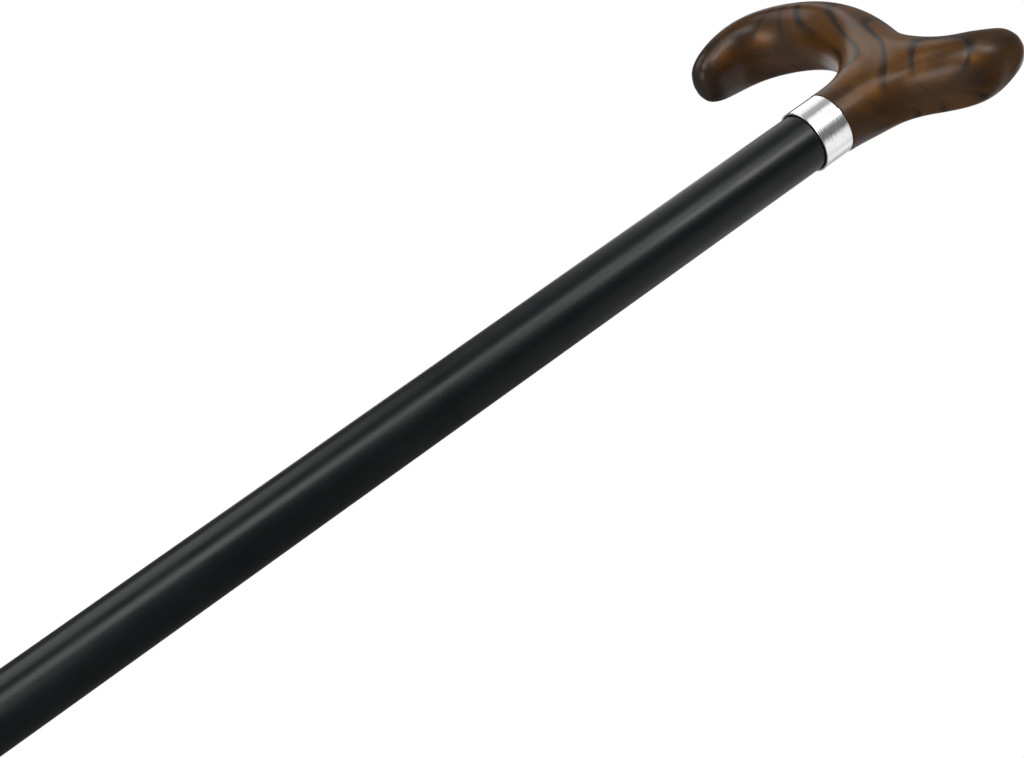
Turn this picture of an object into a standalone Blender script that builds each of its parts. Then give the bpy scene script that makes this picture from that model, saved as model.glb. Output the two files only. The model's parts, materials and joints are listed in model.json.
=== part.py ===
"""A height-adjustable derby cane, standing upright.

A carved wooden handle and a polished collar sit on a black upper tube. The tube slides on a thinner lower
tube. A sprung button locks it in one of a row of holes, and a nut with a split ring takes up the play. A
rubber ferrule stands on the floor. Lengths are in metres, +Z is up, the handle's nose points to +X, and the
origin is the centre of the ferrule's sole.
"""

import math

import bmesh
import bpy
from mathutils import Matrix, Vector

# Gaps between pieces that touch, slide and turn
SEAT_GAP = 0.0003
SLIDE_CLEARANCE = 0.0003
RUNNING_CLEARANCE = 0.0004

# Tubes, with the row of holes in the upper one and the button's hole in the lower one
UPPER_TUBE_DIAMETER = 0.0220
UPPER_TUBE_LENGTH = 0.5650
LOWER_TUBE_LENGTH = 0.3850
TUBE_WALL = 0.0012
HOLE_COUNT = 7
HOLE_PITCH = 0.0250
FIRST_HOLE_HEIGHT = 0.0450
BUTTON_BELOW_TOP = 0.0400

# Ferrule and its steel disc
SOLE_DIAMETER = 0.0360
SOLE_THICKNESS = 0.0120
SOLE_RIM = 0.0050
SOLE_CHAMFER = 0.0010
FLARE_HEIGHT = 0.0143
FERRULE_HEIGHT = 0.0480
FERRULE_NECK_WALL = 0.0030
FERRULE_LIP = 0.0010
RIB_COUNT = 3
RIB_PITCH = 0.0072
RIB_HEIGHT = 0.0024
RIB_PROUD = 0.0006
TREAD_DEPTH = 0.0015
TREAD_WIDTH = 0.0020
TREAD_RADII = (0.0065, 0.0120)
DISC_THICKNESS = 0.0015

# Clamp at the upper tube's lower end
SLEEVE_COVER = 0.0200
SLEEVE_WALL = 0.0013
SLEEVE_WEB = 0.0018
SLEEVE_HEAD_WALL = 0.0032
SLEEVE_HEAD_HEIGHT = 0.0060
SLEEVE_CHAMFER = 0.0010
CONE_HEIGHT = 0.0060
CONE_GAIN = 0.0008
GRIP_RING_WALL = 0.0007
GRIP_RING_FOOT = 0.0015
GRIP_RING_SLIT = 0.0020
NUT_WALL = 0.0022
NUT_FLOOR = 0.0025
NUT_FLUTES = 12
FLUTE_DEPTH = 0.0006
NUT_HEAD_GAP = 0.0006
NUT_CHAMFER = 0.0008
NUT_LOWER_CHAMFER = 0.0020

# Slide bush on the lower tube's top
BUSH_DEPTH = 0.0120
BUSH_FLANGE = 0.0030
BUSH_WALL = 0.0020
BUSH_CHAMFER = 0.0006

# Snap button and its spring
BUTTON_DIAMETER = 0.0078
BUTTON_PROUD = 0.0022
BUTTON_DOME = 0.0018
BUTTON_FLANGE_STEP = 0.0009
BUTTON_FLANGE_THICKNESS = 0.0010
RIVET_DIAMETER = 0.0028
RIVET_HEAD_STEP = 0.0010
RIVET_HEAD_THICKNESS = 0.0006
RIVET_CHAMFER = 0.0003
SPRING_THICKNESS = 0.0006
SPRING_WIDTH = 0.0060
SPRING_ABOVE = 0.0075
SPRING_STRAIGHT = 0.0070
SPRING_DEPTH = 0.0300
SPRING_BEND_RADIUS = 0.0022

# Plug in the upper tube's top, and the stud with its nut and washers that hold the handle
PLUG_LENGTH = 0.0300
STUD_DIAMETER = 0.0080
STUD_IN_WOOD = 0.0300
STUD_BELOW_NUT = 0.0030
STUD_CHAMFER = 0.0008
WASHER_THICKNESS = 0.0012
WASHER_TO_TUBE = 0.0018
SPRING_WASHER_THICKNESS = 0.0020
SPRING_WASHER_WALL = 0.0028
SPRING_WASHER_SPLIT = 0.0015
HEX_NUT_WALL = 0.0022
HEX_NUT_HEIGHT = 0.0065
SET_SCREW_DIAMETER = 0.0040
SET_SCREW_FLOOR = 0.0021
SET_SCREW_BELOW_TOP = 0.0055
SOCKET_WIDTH = 0.0020
SOCKET_DEPTH = 0.0020
INSERT_WALL = 0.0017
INSERT_LENGTH = 0.0180

# Collar
COLLAR_WALL = 0.0007
COLLAR_DROP = 0.0103
COLLAR_WEB = 0.0021
COLLAR_EASE = 0.0002

# Handle: each station along the wood gives the distance ahead of the tube's axis, the height above the
# collar, half the wood's thickness and half its width, from the tail to the nose.
TAIL_TIP = (-0.0293, 0.0576, 0.0106, 0.0099)
TAIL = (-0.0291, 0.0478, 0.0130, 0.0135)
HEEL = (-0.0172, 0.0395, 0.0131, 0.0129)
SADDLE = (0.0111, 0.0369, 0.0130, 0.0128)
RISE = (0.0277, 0.0466, 0.0124, 0.0130)
CROWN = (0.0612, 0.0562, 0.0112, 0.0144)
BROW = (0.0925, 0.0380, 0.0100, 0.0148)
NOSE_TIP = (0.0877, 0.0117, 0.0076, 0.0121)
HANDLE_STATIONS = (TAIL_TIP, TAIL, HEEL, SADDLE, RISE, CROWN, BROW, NOSE_TIP)
NECK_STATIONS = (HEEL, SADDLE, RISE)
TAIL_CAP_DEPTH = 0.0084
TAIL_CAP_SHRINK = 0.625
NOSE_CAP_DEPTH = 0.0076
NOSE_CAP_SHRINK = 0.50
UNDERSIDE_SPREAD = 0.9

# Neck, from the wood's underside down to the collar. Its middle leans towards the tail by the BACK sizes.
NECK_FLARE_DROP = 0.0050
NECK_FLARE_LENGTH = 0.0146
NECK_FLARE_WIDTH = 0.0140
NECK_FLARE_BACK = 0.0006
NECK_WAIST_HEIGHT = 0.0079
NECK_WAIST_SWELL = 0.0003
NECK_WAIST_BACK = 0.0008
RIM_PROUD = 0.0003

# Round pieces have SIDES sides, the small hidden ones fewer. Curves in an outline have CURVE_STEPS steps.
SIDES = 40
SMALL_SIDES = 32
PIN_SIDES = 20
SIDES_PER_FLUTE = 4
CURVE_STEPS = 5
SPRING_BEND_STEPS = 8
CARVING_LEVELS = 2

# The handle's cage has RING_POINTS points round each ring. Subdivision draws such a ring in by RING_PULL,
# so the cage is made that much larger than the wood. The points of UNDERSIDE face the neck.
RING_POINTS = 8
RING_PULL = (2 + math.cos(math.tau / RING_POINTS)) / 3
UNDERSIDE = (3, 4, 5)

# Radii that follow from the sizes above
UPPER_OUTER = UPPER_TUBE_DIAMETER / 2
UPPER_INNER = UPPER_OUTER - TUBE_WALL
LOWER_OUTER = UPPER_INNER - SLIDE_CLEARANCE
LOWER_INNER = LOWER_OUTER - TUBE_WALL
CLEAR_OF_CANE = UPPER_OUTER * 2
STUD_RADIUS = STUD_DIAMETER / 2
STUD_HOLE = STUD_RADIUS + SEAT_GAP
SET_SCREW_RADIUS = SET_SCREW_DIAMETER / 2
SET_SCREW_TIP = STUD_HOLE + SET_SCREW_FLOOR
INSERT_RADIUS = STUD_HOLE + INSERT_WALL
COLLAR_OUTER = UPPER_OUTER + SEAT_GAP + COLLAR_WALL
NECK_RADIUS = COLLAR_OUTER + RIM_PROUD
NECK_WAIST_WIDTH = NECK_RADIUS + NECK_WAIST_SWELL
BUTTON_RADIUS = BUTTON_DIAMETER / 2
BUTTON_HOLE = BUTTON_RADIUS + SEAT_GAP
BUTTON_FLANGE = BUTTON_RADIUS + BUTTON_FLANGE_STEP
RIVET_RADIUS = RIVET_DIAMETER / 2

# Heights above the floor that follow from the sizes above
DISC_BOTTOM = SOLE_THICKNESS + SEAT_GAP
LOWER_TUBE_BOTTOM = DISC_BOTTOM + DISC_THICKNESS + SEAT_GAP
LOWER_TUBE_TOP = LOWER_TUBE_BOTTOM + LOWER_TUBE_LENGTH
BUTTON_HEIGHT = LOWER_TUBE_TOP - BUTTON_BELOW_TOP
REST_HOLE = HOLE_COUNT // 2
UPPER_TUBE_BOTTOM = BUTTON_HEIGHT - FIRST_HOLE_HEIGHT - REST_HOLE * HOLE_PITCH

# Heights above the upper tube's lower end, where most pieces of the upper shaft have their origin
WEB_BOTTOM = -SEAT_GAP - SLEEVE_WEB
GRIP_RING_TOP = WEB_BOTTOM - SEAT_GAP
GRIP_CONE_BOTTOM = GRIP_RING_TOP - CONE_HEIGHT
GRIP_RING_BOTTOM = GRIP_CONE_BOTTOM - GRIP_RING_FOOT
SLEEVE_HEAD_BOTTOM = SLEEVE_COVER - SLEEVE_HEAD_HEIGHT
PLUG_BOTTOM = UPPER_TUBE_LENGTH - PLUG_LENGTH
WASHER_TOP = PLUG_BOTTOM - SEAT_GAP
SPRING_WASHER_TOP = WASHER_TOP - WASHER_THICKNESS - SEAT_GAP
HEX_NUT_TOP = SPRING_WASHER_TOP - SPRING_WASHER_THICKNESS - SEAT_GAP
HEX_NUT_BOTTOM = HEX_NUT_TOP - HEX_NUT_HEIGHT
SET_SCREW_HEIGHT = UPPER_TUBE_LENGTH - SET_SCREW_BELOW_TOP
COLLAR_WEB_BOTTOM = UPPER_TUBE_LENGTH + SEAT_GAP
COLLAR_TOP = COLLAR_WEB_BOTTOM + COLLAR_WEB
NECK_BASE = COLLAR_TOP + SEAT_GAP


def clear_scene():
    for thing in list(bpy.data.objects):
        bpy.data.objects.remove(thing)


def finish(name, colour, roughness, metallic=0.0):
    """A material with one colour, roughness and metallic value."""
    material = bpy.data.materials.new(name)
    material.use_nodes = True
    shader = material.node_tree.nodes["Principled BSDF"]
    shader.inputs["Base Color"].default_value = (*colour, 1.0)
    shader.inputs["Roughness"].default_value = roughness
    shader.inputs["Metallic"].default_value = metallic
    return material


def frame_at(name, location, parent=None):
    """An empty on a joint's axis. The pieces that move with the joint are its children."""
    empty = bpy.data.objects.new(name, None)
    bpy.context.scene.collection.objects.link(empty)
    empty.parent = parent
    empty.location = location
    return empty


def add_object(name, bm, parent, location):
    """An object from the bmesh, its faces pointing out."""
    bmesh.ops.recalc_face_normals(bm, faces=bm.faces)
    mesh = bpy.data.meshes.new(name)
    bm.to_mesh(mesh)
    bm.free()
    thing = bpy.data.objects.new(name, mesh)
    bpy.context.scene.collection.objects.link(thing)
    thing.parent = parent
    thing.location = location
    return thing


def add_piece(name, bm, material, parent=None, location=(0.0, 0.0, 0.0)):
    """A piece of the cane, smooth on round faces and sharp at corners."""
    piece = add_object(name, bm, parent, location)
    piece.data.shade_smooth()
    piece.data.set_sharp_from_angle(angle=math.radians(35))
    piece.data.materials.append(material)
    return piece


def cut(piece, name, bm, parent=None, location=(0.0, 0.0, 0.0)):
    """Takes the bmesh's shape out of the piece, with a hidden cutter."""
    cutter = add_object(name, bm, parent, location)
    cutter.hide_render = True
    cutter.display_type = "WIRE"
    boolean = piece.modifiers.new("cut by " + name, "BOOLEAN")
    boolean.operation = "DIFFERENCE"
    boolean.solver = "EXACT"
    boolean.object = cutter


def turned(outline, sides=SIDES):
    """A bmesh turned about Z from an outline of (radius, height) points.

    An outline whose ends lie on the axis gives a solid piece, and any other is closed into a ring.
    """
    bm = bmesh.new()
    points = [bm.verts.new((radius, 0.0, height)) for radius, height in outline]
    edges = [bm.edges.new(pair) for pair in zip(points, points[1:])]
    if outline[0][0] > 0.0:
        edges.append(bm.edges.new((points[-1], points[0])))
    bmesh.ops.spin(
        bm,
        geom=points + edges,
        cent=(0.0, 0.0, 0.0),
        axis=(0.0, 0.0, 1.0),
        angle=math.tau,
        steps=sides,
        use_merge=True,
    )
    bmesh.ops.remove_doubles(bm, verts=bm.verts, dist=1e-6)
    return bm


def ring(inner, outer, bottom, top, sides=SIDES):
    """A plain ring about Z."""
    return turned(((inner, bottom), (outer, bottom), (outer, top), (inner, top)), sides)


def rod(bm, radius, start, end, sides=PIN_SIDES):
    """Adds a closed cylinder between two points."""
    start = Vector(start)
    along = Vector(end) - start
    turn = along.to_track_quat("Z", "Y").to_matrix().to_4x4()
    bmesh.ops.create_cone(
        bm,
        cap_ends=True,
        segments=sides,
        radius1=radius,
        radius2=radius,
        depth=along.length,
        matrix=Matrix.Translation(start + along / 2) @ turn,
    )


def block(bm, low, high):
    """Adds a box between two corners."""
    low = Vector(low)
    high = Vector(high)
    size = Matrix.Diagonal((*(high - low), 1.0))
    bmesh.ops.create_cube(bm, size=1.0, matrix=Matrix.Translation((low + high) / 2) @ size)


def slit(width, bottom, top):
    """A cutter that opens a ring on its nose side, from one height to another and a little past both."""
    past = (top - bottom) / 2
    bm = bmesh.new()
    block(bm, (STUD_RADIUS / 2, -width / 2, bottom - past), (CLEAR_OF_CANE, width / 2, top + past))
    return bm


def button_holes(heights):
    """A cutter with a rod through the tail side of a tube at each height."""
    bm = bmesh.new()
    for height in heights:
        rod(bm, BUTTON_HOLE, (0.0, 0.0, height), (-CLEAR_OF_CANE, 0.0, height))
    return bm


def ferrule(material):
    """The rubber foot: a flat sole with two round treads, a flared skirt and a ribbed neck."""
    socket = LOWER_OUTER + SEAT_GAP
    neck = socket + FERRULE_NECK_WALL
    edge = SOLE_DIAMETER / 2
    outline = [(0.0, 0.0)]
    for radius in TREAD_RADII:
        outline.append((radius - TREAD_WIDTH / 2, 0.0))
        outline.append((radius - TREAD_WIDTH / 2, TREAD_DEPTH))
        outline.append((radius + TREAD_WIDTH / 2, TREAD_DEPTH))
        outline.append((radius + TREAD_WIDTH / 2, 0.0))
    outline.append((edge - SOLE_CHAMFER, 0.0))
    outline.append((edge, SOLE_CHAMFER))
    outline.append((edge, SOLE_RIM))
    flare_top = SOLE_RIM + FLARE_HEIGHT
    for step in range(1, CURVE_STEPS + 1):
        turn = math.radians(90) * step / CURVE_STEPS
        radius = edge - (edge - neck) * math.sin(turn)
        outline.append((radius, flare_top - FLARE_HEIGHT * math.cos(turn)))
    for count in range(RIB_COUNT):
        middle = flare_top + RIB_PITCH * (count + 1)
        outline.append((neck, middle - RIB_HEIGHT / 2))
        outline.append((neck + RIB_PROUD, middle - RIB_HEIGHT / 2 + RIB_PROUD))
        outline.append((neck + RIB_PROUD, middle + RIB_HEIGHT / 2 - RIB_PROUD))
        outline.append((neck, middle + RIB_HEIGHT / 2))
    outline.append((neck, FERRULE_HEIGHT - FERRULE_LIP))
    outline.append((neck - FERRULE_LIP, FERRULE_HEIGHT))
    outline.append((socket, FERRULE_HEIGHT))
    outline.append((socket, SOLE_THICKNESS))
    outline.append((0.0, SOLE_THICKNESS))
    return add_piece("ferrule", turned(outline), material)


def ferrule_disc(material):
    outline = ((0.0, 0.0), (LOWER_OUTER, 0.0), (LOWER_OUTER, DISC_THICKNESS), (0.0, DISC_THICKNESS))
    bm = turned(outline, SMALL_SIDES)
    return add_piece("ferrule_disc", bm, material, location=(0.0, 0.0, DISC_BOTTOM))


def lower_tube(material):
    """The thinner tube, with the button's hole near its top."""
    place = (0.0, 0.0, LOWER_TUBE_BOTTOM)
    bm = ring(LOWER_INNER, LOWER_OUTER, 0.0, LOWER_TUBE_LENGTH)
    piece = add_piece("lower_tube", bm, material, location=place)
    hole = button_holes([LOWER_TUBE_LENGTH - BUTTON_BELOW_TOP])
    cut(piece, "lower_tube_hole", hole, location=place)
    return piece


def slide_bush(material):
    """A flanged guide in the lower tube's top end, open in the middle so that air can pass."""
    body = LOWER_INNER - SEAT_GAP
    bore = body - BUSH_WALL
    bottom = SEAT_GAP - BUSH_DEPTH
    top = SEAT_GAP + BUSH_FLANGE
    outline = (
        (bore, bottom),
        (body - BUSH_CHAMFER, bottom),
        (body, bottom + BUSH_CHAMFER),
        (body, SEAT_GAP),
        (LOWER_OUTER, SEAT_GAP),
        (LOWER_OUTER, top - BUSH_CHAMFER),
        (LOWER_OUTER - BUSH_CHAMFER, top),
        (bore, top),
    )
    bm = turned(outline, SMALL_SIDES)
    return add_piece("slide_bush", bm, material, location=(0.0, 0.0, LOWER_TUBE_TOP))


def flange_face():
    """How far from the tube's axis the button's flat flange can sit inside the round wall."""
    return math.sqrt(LOWER_INNER**2 - BUTTON_FLANGE**2) - SEAT_GAP


def snap_button(material, parent):
    """A domed button, its flange inside the tube and its tail riveted through the spring."""
    flange_outside = flange_face()
    flange_inside = flange_outside - BUTTON_FLANGE_THICKNESS
    head_top = flange_inside - SEAT_GAP - SPRING_THICKNESS - SEAT_GAP
    head_bottom = head_top - RIVET_HEAD_THICKNESS
    head = RIVET_RADIUS + RIVET_HEAD_STEP
    tip = UPPER_OUTER + BUTTON_PROUD
    outline = [
        (0.0, head_bottom),
        (head - RIVET_CHAMFER, head_bottom),
        (head, head_bottom + RIVET_CHAMFER),
        (head, head_top),
        (RIVET_RADIUS, head_top),
        (RIVET_RADIUS, flange_inside),
        (BUTTON_FLANGE, flange_inside),
        (BUTTON_FLANGE, flange_outside),
        (BUTTON_RADIUS, flange_outside),
    ]
    for step in range(CURVE_STEPS):
        turn = math.radians(90) * step / CURVE_STEPS
        outline.append((BUTTON_RADIUS * math.cos(turn), tip - BUTTON_DOME * (1 - math.sin(turn))))
    outline.append((0.0, tip))
    bm = turned(outline, PIN_SIDES)
    bmesh.ops.rotate(bm, verts=bm.verts, matrix=Matrix.Rotation(math.radians(-90), 3, "Y"))
    return add_piece("snap_button", bm, material, parent)


def leaf_spring(material):
    """A V of flat spring steel: one leg carries the button, the other bears on the far wall."""
    button_leg = SPRING_THICKNESS / 2 + SEAT_GAP + BUTTON_FLANGE_THICKNESS - flange_face()
    half_width = SPRING_WIDTH / 2
    back_leg = math.sqrt(LOWER_INNER**2 - half_width**2) - SEAT_GAP - SPRING_THICKNESS / 2
    middle = (button_leg + back_leg) / 2
    path = [(button_leg, SPRING_ABOVE), (button_leg, -SPRING_STRAIGHT)]
    for step in range(SPRING_BEND_STEPS + 1):
        turn = math.pi * step / SPRING_BEND_STEPS
        across = middle - SPRING_BEND_RADIUS * math.cos(turn)
        path.append((across, -SPRING_DEPTH - SPRING_BEND_RADIUS * math.sin(turn)))
    path.append((back_leg, -SPRING_STRAIGHT))
    path.append((back_leg, SPRING_ABOVE))
    bm = bmesh.new()
    points = [bm.verts.new((across, -half_width, height)) for across, height in path]
    edges = [bm.edges.new(pair) for pair in zip(points, points[1:])]
    made = bmesh.ops.extrude_edge_only(bm, edges=edges)["geom"]
    moved = [item for item in made if isinstance(item, bmesh.types.BMVert)]
    bmesh.ops.translate(bm, verts=moved, vec=(0.0, SPRING_WIDTH, 0.0))
    place = (0.0, 0.0, BUTTON_HEIGHT)
    piece = add_piece("leaf_spring", bm, material, location=place)
    thicken = piece.modifiers.new("thickness", "SOLIDIFY")
    thicken.thickness = SPRING_THICKNESS
    thicken.offset = 0.0
    thicken.use_even_offset = True
    hole = bmesh.new()
    past = SPRING_THICKNESS * 3
    rod(hole, RIVET_RADIUS + SEAT_GAP, (button_leg - past, 0.0, 0.0), (button_leg + past, 0.0, 0.0))
    cut(piece, "rivet_hole", hole, location=place)
    return piece


def upper_tube(material, parent):
    """The visible black tube, with its row of holes and the two set-screw holes under the collar."""
    bm = ring(UPPER_INNER, UPPER_OUTER, 0.0, UPPER_TUBE_LENGTH)
    piece = add_piece("upper_tube", bm, material, parent)
    heights = [FIRST_HOLE_HEIGHT + HOLE_PITCH * count for count in range(HOLE_COUNT)]
    cut(piece, "height_holes", button_holes(heights), parent)
    screws = bmesh.new()
    left = (0.0, CLEAR_OF_CANE, SET_SCREW_HEIGHT)
    right = (0.0, -CLEAR_OF_CANE, SET_SCREW_HEIGHT)
    rod(screws, SET_SCREW_RADIUS + SEAT_GAP, left, right)
    cut(piece, "screw_holes", screws, parent)
    return piece


def thread_sleeve(material, parent):
    """Fixed on the tube's lower end: a head ring above, the nut's thread outside and a cone inside."""
    pocket = UPPER_OUTER + SEAT_GAP
    thread = pocket + SLEEVE_WALL
    head = pocket + SLEEVE_HEAD_WALL
    web_bore = LOWER_OUTER + RUNNING_CLEARANCE
    small_end = LOWER_OUTER + SEAT_GAP + GRIP_RING_WALL + SEAT_GAP
    cone_bottom = WEB_BOTTOM - CONE_HEIGHT
    outline = (
        (pocket, SLEEVE_COVER),
        (pocket, -SEAT_GAP),
        (web_bore, -SEAT_GAP),
        (web_bore, WEB_BOTTOM),
        (small_end, WEB_BOTTOM),
        (small_end + CONE_GAIN, cone_bottom),
        (thread, cone_bottom),
        (thread, SLEEVE_HEAD_BOTTOM),
        (head, SLEEVE_HEAD_BOTTOM),
        (head, SLEEVE_COVER - SLEEVE_CHAMFER * 2),
        (head - SLEEVE_CHAMFER, SLEEVE_COVER),
    )
    return add_piece("thread_sleeve", turned(outline), material, parent)


def grip_ring(material, parent):
    """A coned ring round the lower tube, slit so that it can close, with a foot that the nut pushes."""
    bore = LOWER_OUTER + SEAT_GAP
    small_end = bore + GRIP_RING_WALL
    foot = small_end + CONE_GAIN + SEAT_GAP
    outline = (
        (bore, GRIP_RING_TOP),
        (bore, GRIP_RING_BOTTOM),
        (foot, GRIP_RING_BOTTOM),
        (foot, GRIP_CONE_BOTTOM),
        (small_end + CONE_GAIN, GRIP_CONE_BOTTOM),
        (small_end, GRIP_RING_TOP),
    )
    piece = add_piece("grip_ring", turned(outline), material, parent)
    cut(piece, "ring_slit", slit(GRIP_RING_SLIT, GRIP_RING_BOTTOM, GRIP_RING_TOP), parent)
    return piece


def lock_nut(material, parent):
    """A fluted cup: its floor pushes the grip ring and its wall turns on the sleeve's thread."""
    bore = UPPER_OUTER + SEAT_GAP + SLEEVE_WALL + SEAT_GAP
    outside = bore + NUT_WALL
    hole = LOWER_OUTER + RUNNING_CLEARANCE
    floor_top = GRIP_RING_BOTTOM - SEAT_GAP
    bottom = floor_top - NUT_FLOOR
    top = SLEEVE_HEAD_BOTTOM - NUT_HEAD_GAP
    outline = (
        (hole, floor_top),
        (hole, bottom),
        (outside - NUT_LOWER_CHAMFER, bottom),
        (outside, bottom + NUT_LOWER_CHAMFER),
        (outside, top - NUT_CHAMFER),
        (outside - NUT_CHAMFER, top),
        (bore, top),
        (bore, floor_top),
    )
    bm = turned(outline, NUT_FLUTES * SIDES_PER_FLUTE)
    for vert in bm.verts:
        radius = math.hypot(vert.co.x, vert.co.y)
        if radius > outside - NUT_CHAMFER / 2:
            turn = math.atan2(vert.co.y, vert.co.x)
            flute = FLUTE_DEPTH * (1 - math.cos(turn * NUT_FLUTES)) / 2
            shrink = (radius - flute) / radius
            vert.co.x *= shrink
            vert.co.y *= shrink
    return add_piece("lock_nut", bm, material, parent)


def tube_plug(material, parent):
    """Fills the tube's top end, bored for the stud and drilled for the two set screws."""
    bm = ring(STUD_HOLE, UPPER_INNER - SEAT_GAP, PLUG_BOTTOM, UPPER_TUBE_LENGTH, SMALL_SIDES)
    piece = add_piece("tube_plug", bm, material, parent)
    holes = bmesh.new()
    for side in (-1, 1):
        near = (0.0, side * (SET_SCREW_TIP - SEAT_GAP), SET_SCREW_HEIGHT)
        rod(holes, SET_SCREW_RADIUS + SEAT_GAP, near, (0.0, side * CLEAR_OF_CANE, SET_SCREW_HEIGHT))
    cut(piece, "plug_holes", holes, parent)
    return piece


def set_screw(name, side, material, parent):
    """A headless screw with a hexagon socket, flush with the tube."""
    near = (0.0, side * SET_SCREW_TIP, SET_SCREW_HEIGHT)
    bm = bmesh.new()
    rod(bm, SET_SCREW_RADIUS, near, (0.0, side * (UPPER_OUTER - SEAT_GAP), SET_SCREW_HEIGHT))
    piece = add_piece(name, bm, material, parent)
    socket = bmesh.new()
    start = (0.0, side * (UPPER_OUTER - SOCKET_DEPTH), SET_SCREW_HEIGHT)
    corner = SOCKET_WIDTH / 2 / math.cos(math.radians(30))
    rod(socket, corner, start, (0.0, side * CLEAR_OF_CANE, SET_SCREW_HEIGHT), 6)
    cut(piece, name + "_socket", socket, parent)
    return piece


def plug_washer(material, parent):
    bottom = WASHER_TOP - WASHER_THICKNESS
    bm = ring(STUD_HOLE, UPPER_INNER - WASHER_TO_TUBE, bottom, WASHER_TOP, SMALL_SIDES)
    return add_piece("plug_washer", bm, material, parent)


def spring_washer(material, parent):
    """A split washer that keeps the nut from working loose."""
    bottom = SPRING_WASHER_TOP - SPRING_WASHER_THICKNESS
    bm = ring(STUD_HOLE, STUD_HOLE + SPRING_WASHER_WALL, bottom, SPRING_WASHER_TOP, SMALL_SIDES)
    piece = add_piece("spring_washer", bm, material, parent)
    cut(piece, "washer_split", slit(SPRING_WASHER_SPLIT, bottom, SPRING_WASHER_TOP), parent)
    return piece


def plug_nut(material, parent):
    corner = (STUD_HOLE + HEX_NUT_WALL) / math.cos(math.radians(30))
    bm = bmesh.new()
    rod(bm, corner, (0.0, 0.0, HEX_NUT_BOTTOM), (0.0, 0.0, HEX_NUT_TOP), 6)
    piece = add_piece("plug_nut", bm, material, parent)
    bore = bmesh.new()
    start = (0.0, 0.0, HEX_NUT_BOTTOM - HEX_NUT_HEIGHT)
    rod(bore, STUD_HOLE, start, (0.0, 0.0, HEX_NUT_TOP + HEX_NUT_HEIGHT), SMALL_SIDES)
    cut(piece, "nut_bore", bore, parent)
    return piece


def handle_stud(material, parent):
    """A threaded rod with eased ends, from below the nut up into the wood."""
    bottom = HEX_NUT_BOTTOM - STUD_BELOW_NUT
    top = NECK_BASE + STUD_IN_WOOD
    outline = (
        (0.0, bottom),
        (STUD_RADIUS - STUD_CHAMFER, bottom),
        (STUD_RADIUS, bottom + STUD_CHAMFER),
        (STUD_RADIUS, top - STUD_CHAMFER),
        (STUD_RADIUS - STUD_CHAMFER, top),
        (0.0, top),
    )
    return add_piece("handle_stud", turned(outline, SMALL_SIDES), material, parent)


def handle_insert(material, parent):
    bottom = NECK_BASE + SEAT_GAP
    bm = ring(STUD_HOLE, INSERT_RADIUS, bottom, bottom + INSERT_LENGTH, SMALL_SIDES)
    return add_piece("handle_insert", bm, material, parent)


def collar(material, parent):
    """A polished band round the tube's end, with a web between the tube and the wood."""
    bore = UPPER_OUTER + SEAT_GAP
    lower_edge = UPPER_TUBE_LENGTH - COLLAR_DROP
    outline = (
        (STUD_HOLE, COLLAR_WEB_BOTTOM),
        (bore, COLLAR_WEB_BOTTOM),
        (bore, lower_edge),
        (COLLAR_OUTER - COLLAR_EASE, lower_edge),
        (COLLAR_OUTER, lower_edge + COLLAR_EASE),
        (COLLAR_OUTER, COLLAR_TOP - COLLAR_EASE),
        (COLLAR_OUTER - COLLAR_EASE, COLLAR_TOP),
        (STUD_HOLE, COLLAR_TOP),
    )
    return add_piece("collar", turned(outline), material, parent)


def spine_direction(index):
    """The handle's direction at a station, from the stations on both sides of it."""
    before = HANDLE_STATIONS[max(index - 1, 0)]
    after = HANDLE_STATIONS[min(index + 1, len(HANDLE_STATIONS) - 1)]
    return Vector((after[0] - before[0], 0.0, after[1] - before[1])).normalized()


def station_ring(bm, index):
    """Points round one station, square to the spine, from the top round by the right side."""
    ahead, height, half_thickness, half_width = HANDLE_STATIONS[index]
    along = spine_direction(index)
    up = Vector((-along.z, 0.0, along.x))
    centre = Vector((ahead, 0.0, height))
    points = []
    for step in range(RING_POINTS):
        turn = math.tau * step / RING_POINTS
        sideways = -math.sin(turn)
        if HANDLE_STATIONS[index] in NECK_STATIONS and step in (UNDERSIDE[0], UNDERSIDE[-1]):
            sideways = math.copysign(UNDERSIDE_SPREAD, sideways)
        across = Vector((0.0, half_width * sideways, 0.0))
        points.append(bm.verts.new(centre + (up * half_thickness * math.cos(turn) + across) / RING_PULL))
    return points


def neck_ring(bm, height, half_length, half_width, back=0.0):
    """Points round the neck at one height, from the tail side round by the left side."""
    points = []
    for step in range(RING_POINTS):
        turn = math.tau * step / RING_POINTS
        ahead = -back - half_length * math.cos(turn) / RING_PULL
        points.append(bm.verts.new((ahead, half_width * math.sin(turn) / RING_PULL, height)))
    return points


def join_rings(bm, first, second, open_steps=()):
    """Four-sided faces between two rings, leaving the open steps out."""
    for step in range(RING_POINTS):
        if step not in open_steps:
            after = (step + 1) % RING_POINTS
            bm.faces.new((first[step], first[after], second[after], second[step]))


def round_end(bm, points, outwards, shrink):
    """Closes an end of the handle with a smaller ring and a cap."""
    centre = sum((vert.co for vert in points), Vector()) / RING_POINTS
    inner = []
    for vert in points:
        inner.append(bm.verts.new(centre + (vert.co - centre) * shrink + outwards))
    join_rings(bm, points, inner)
    bm.faces.new(inner)


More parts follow.
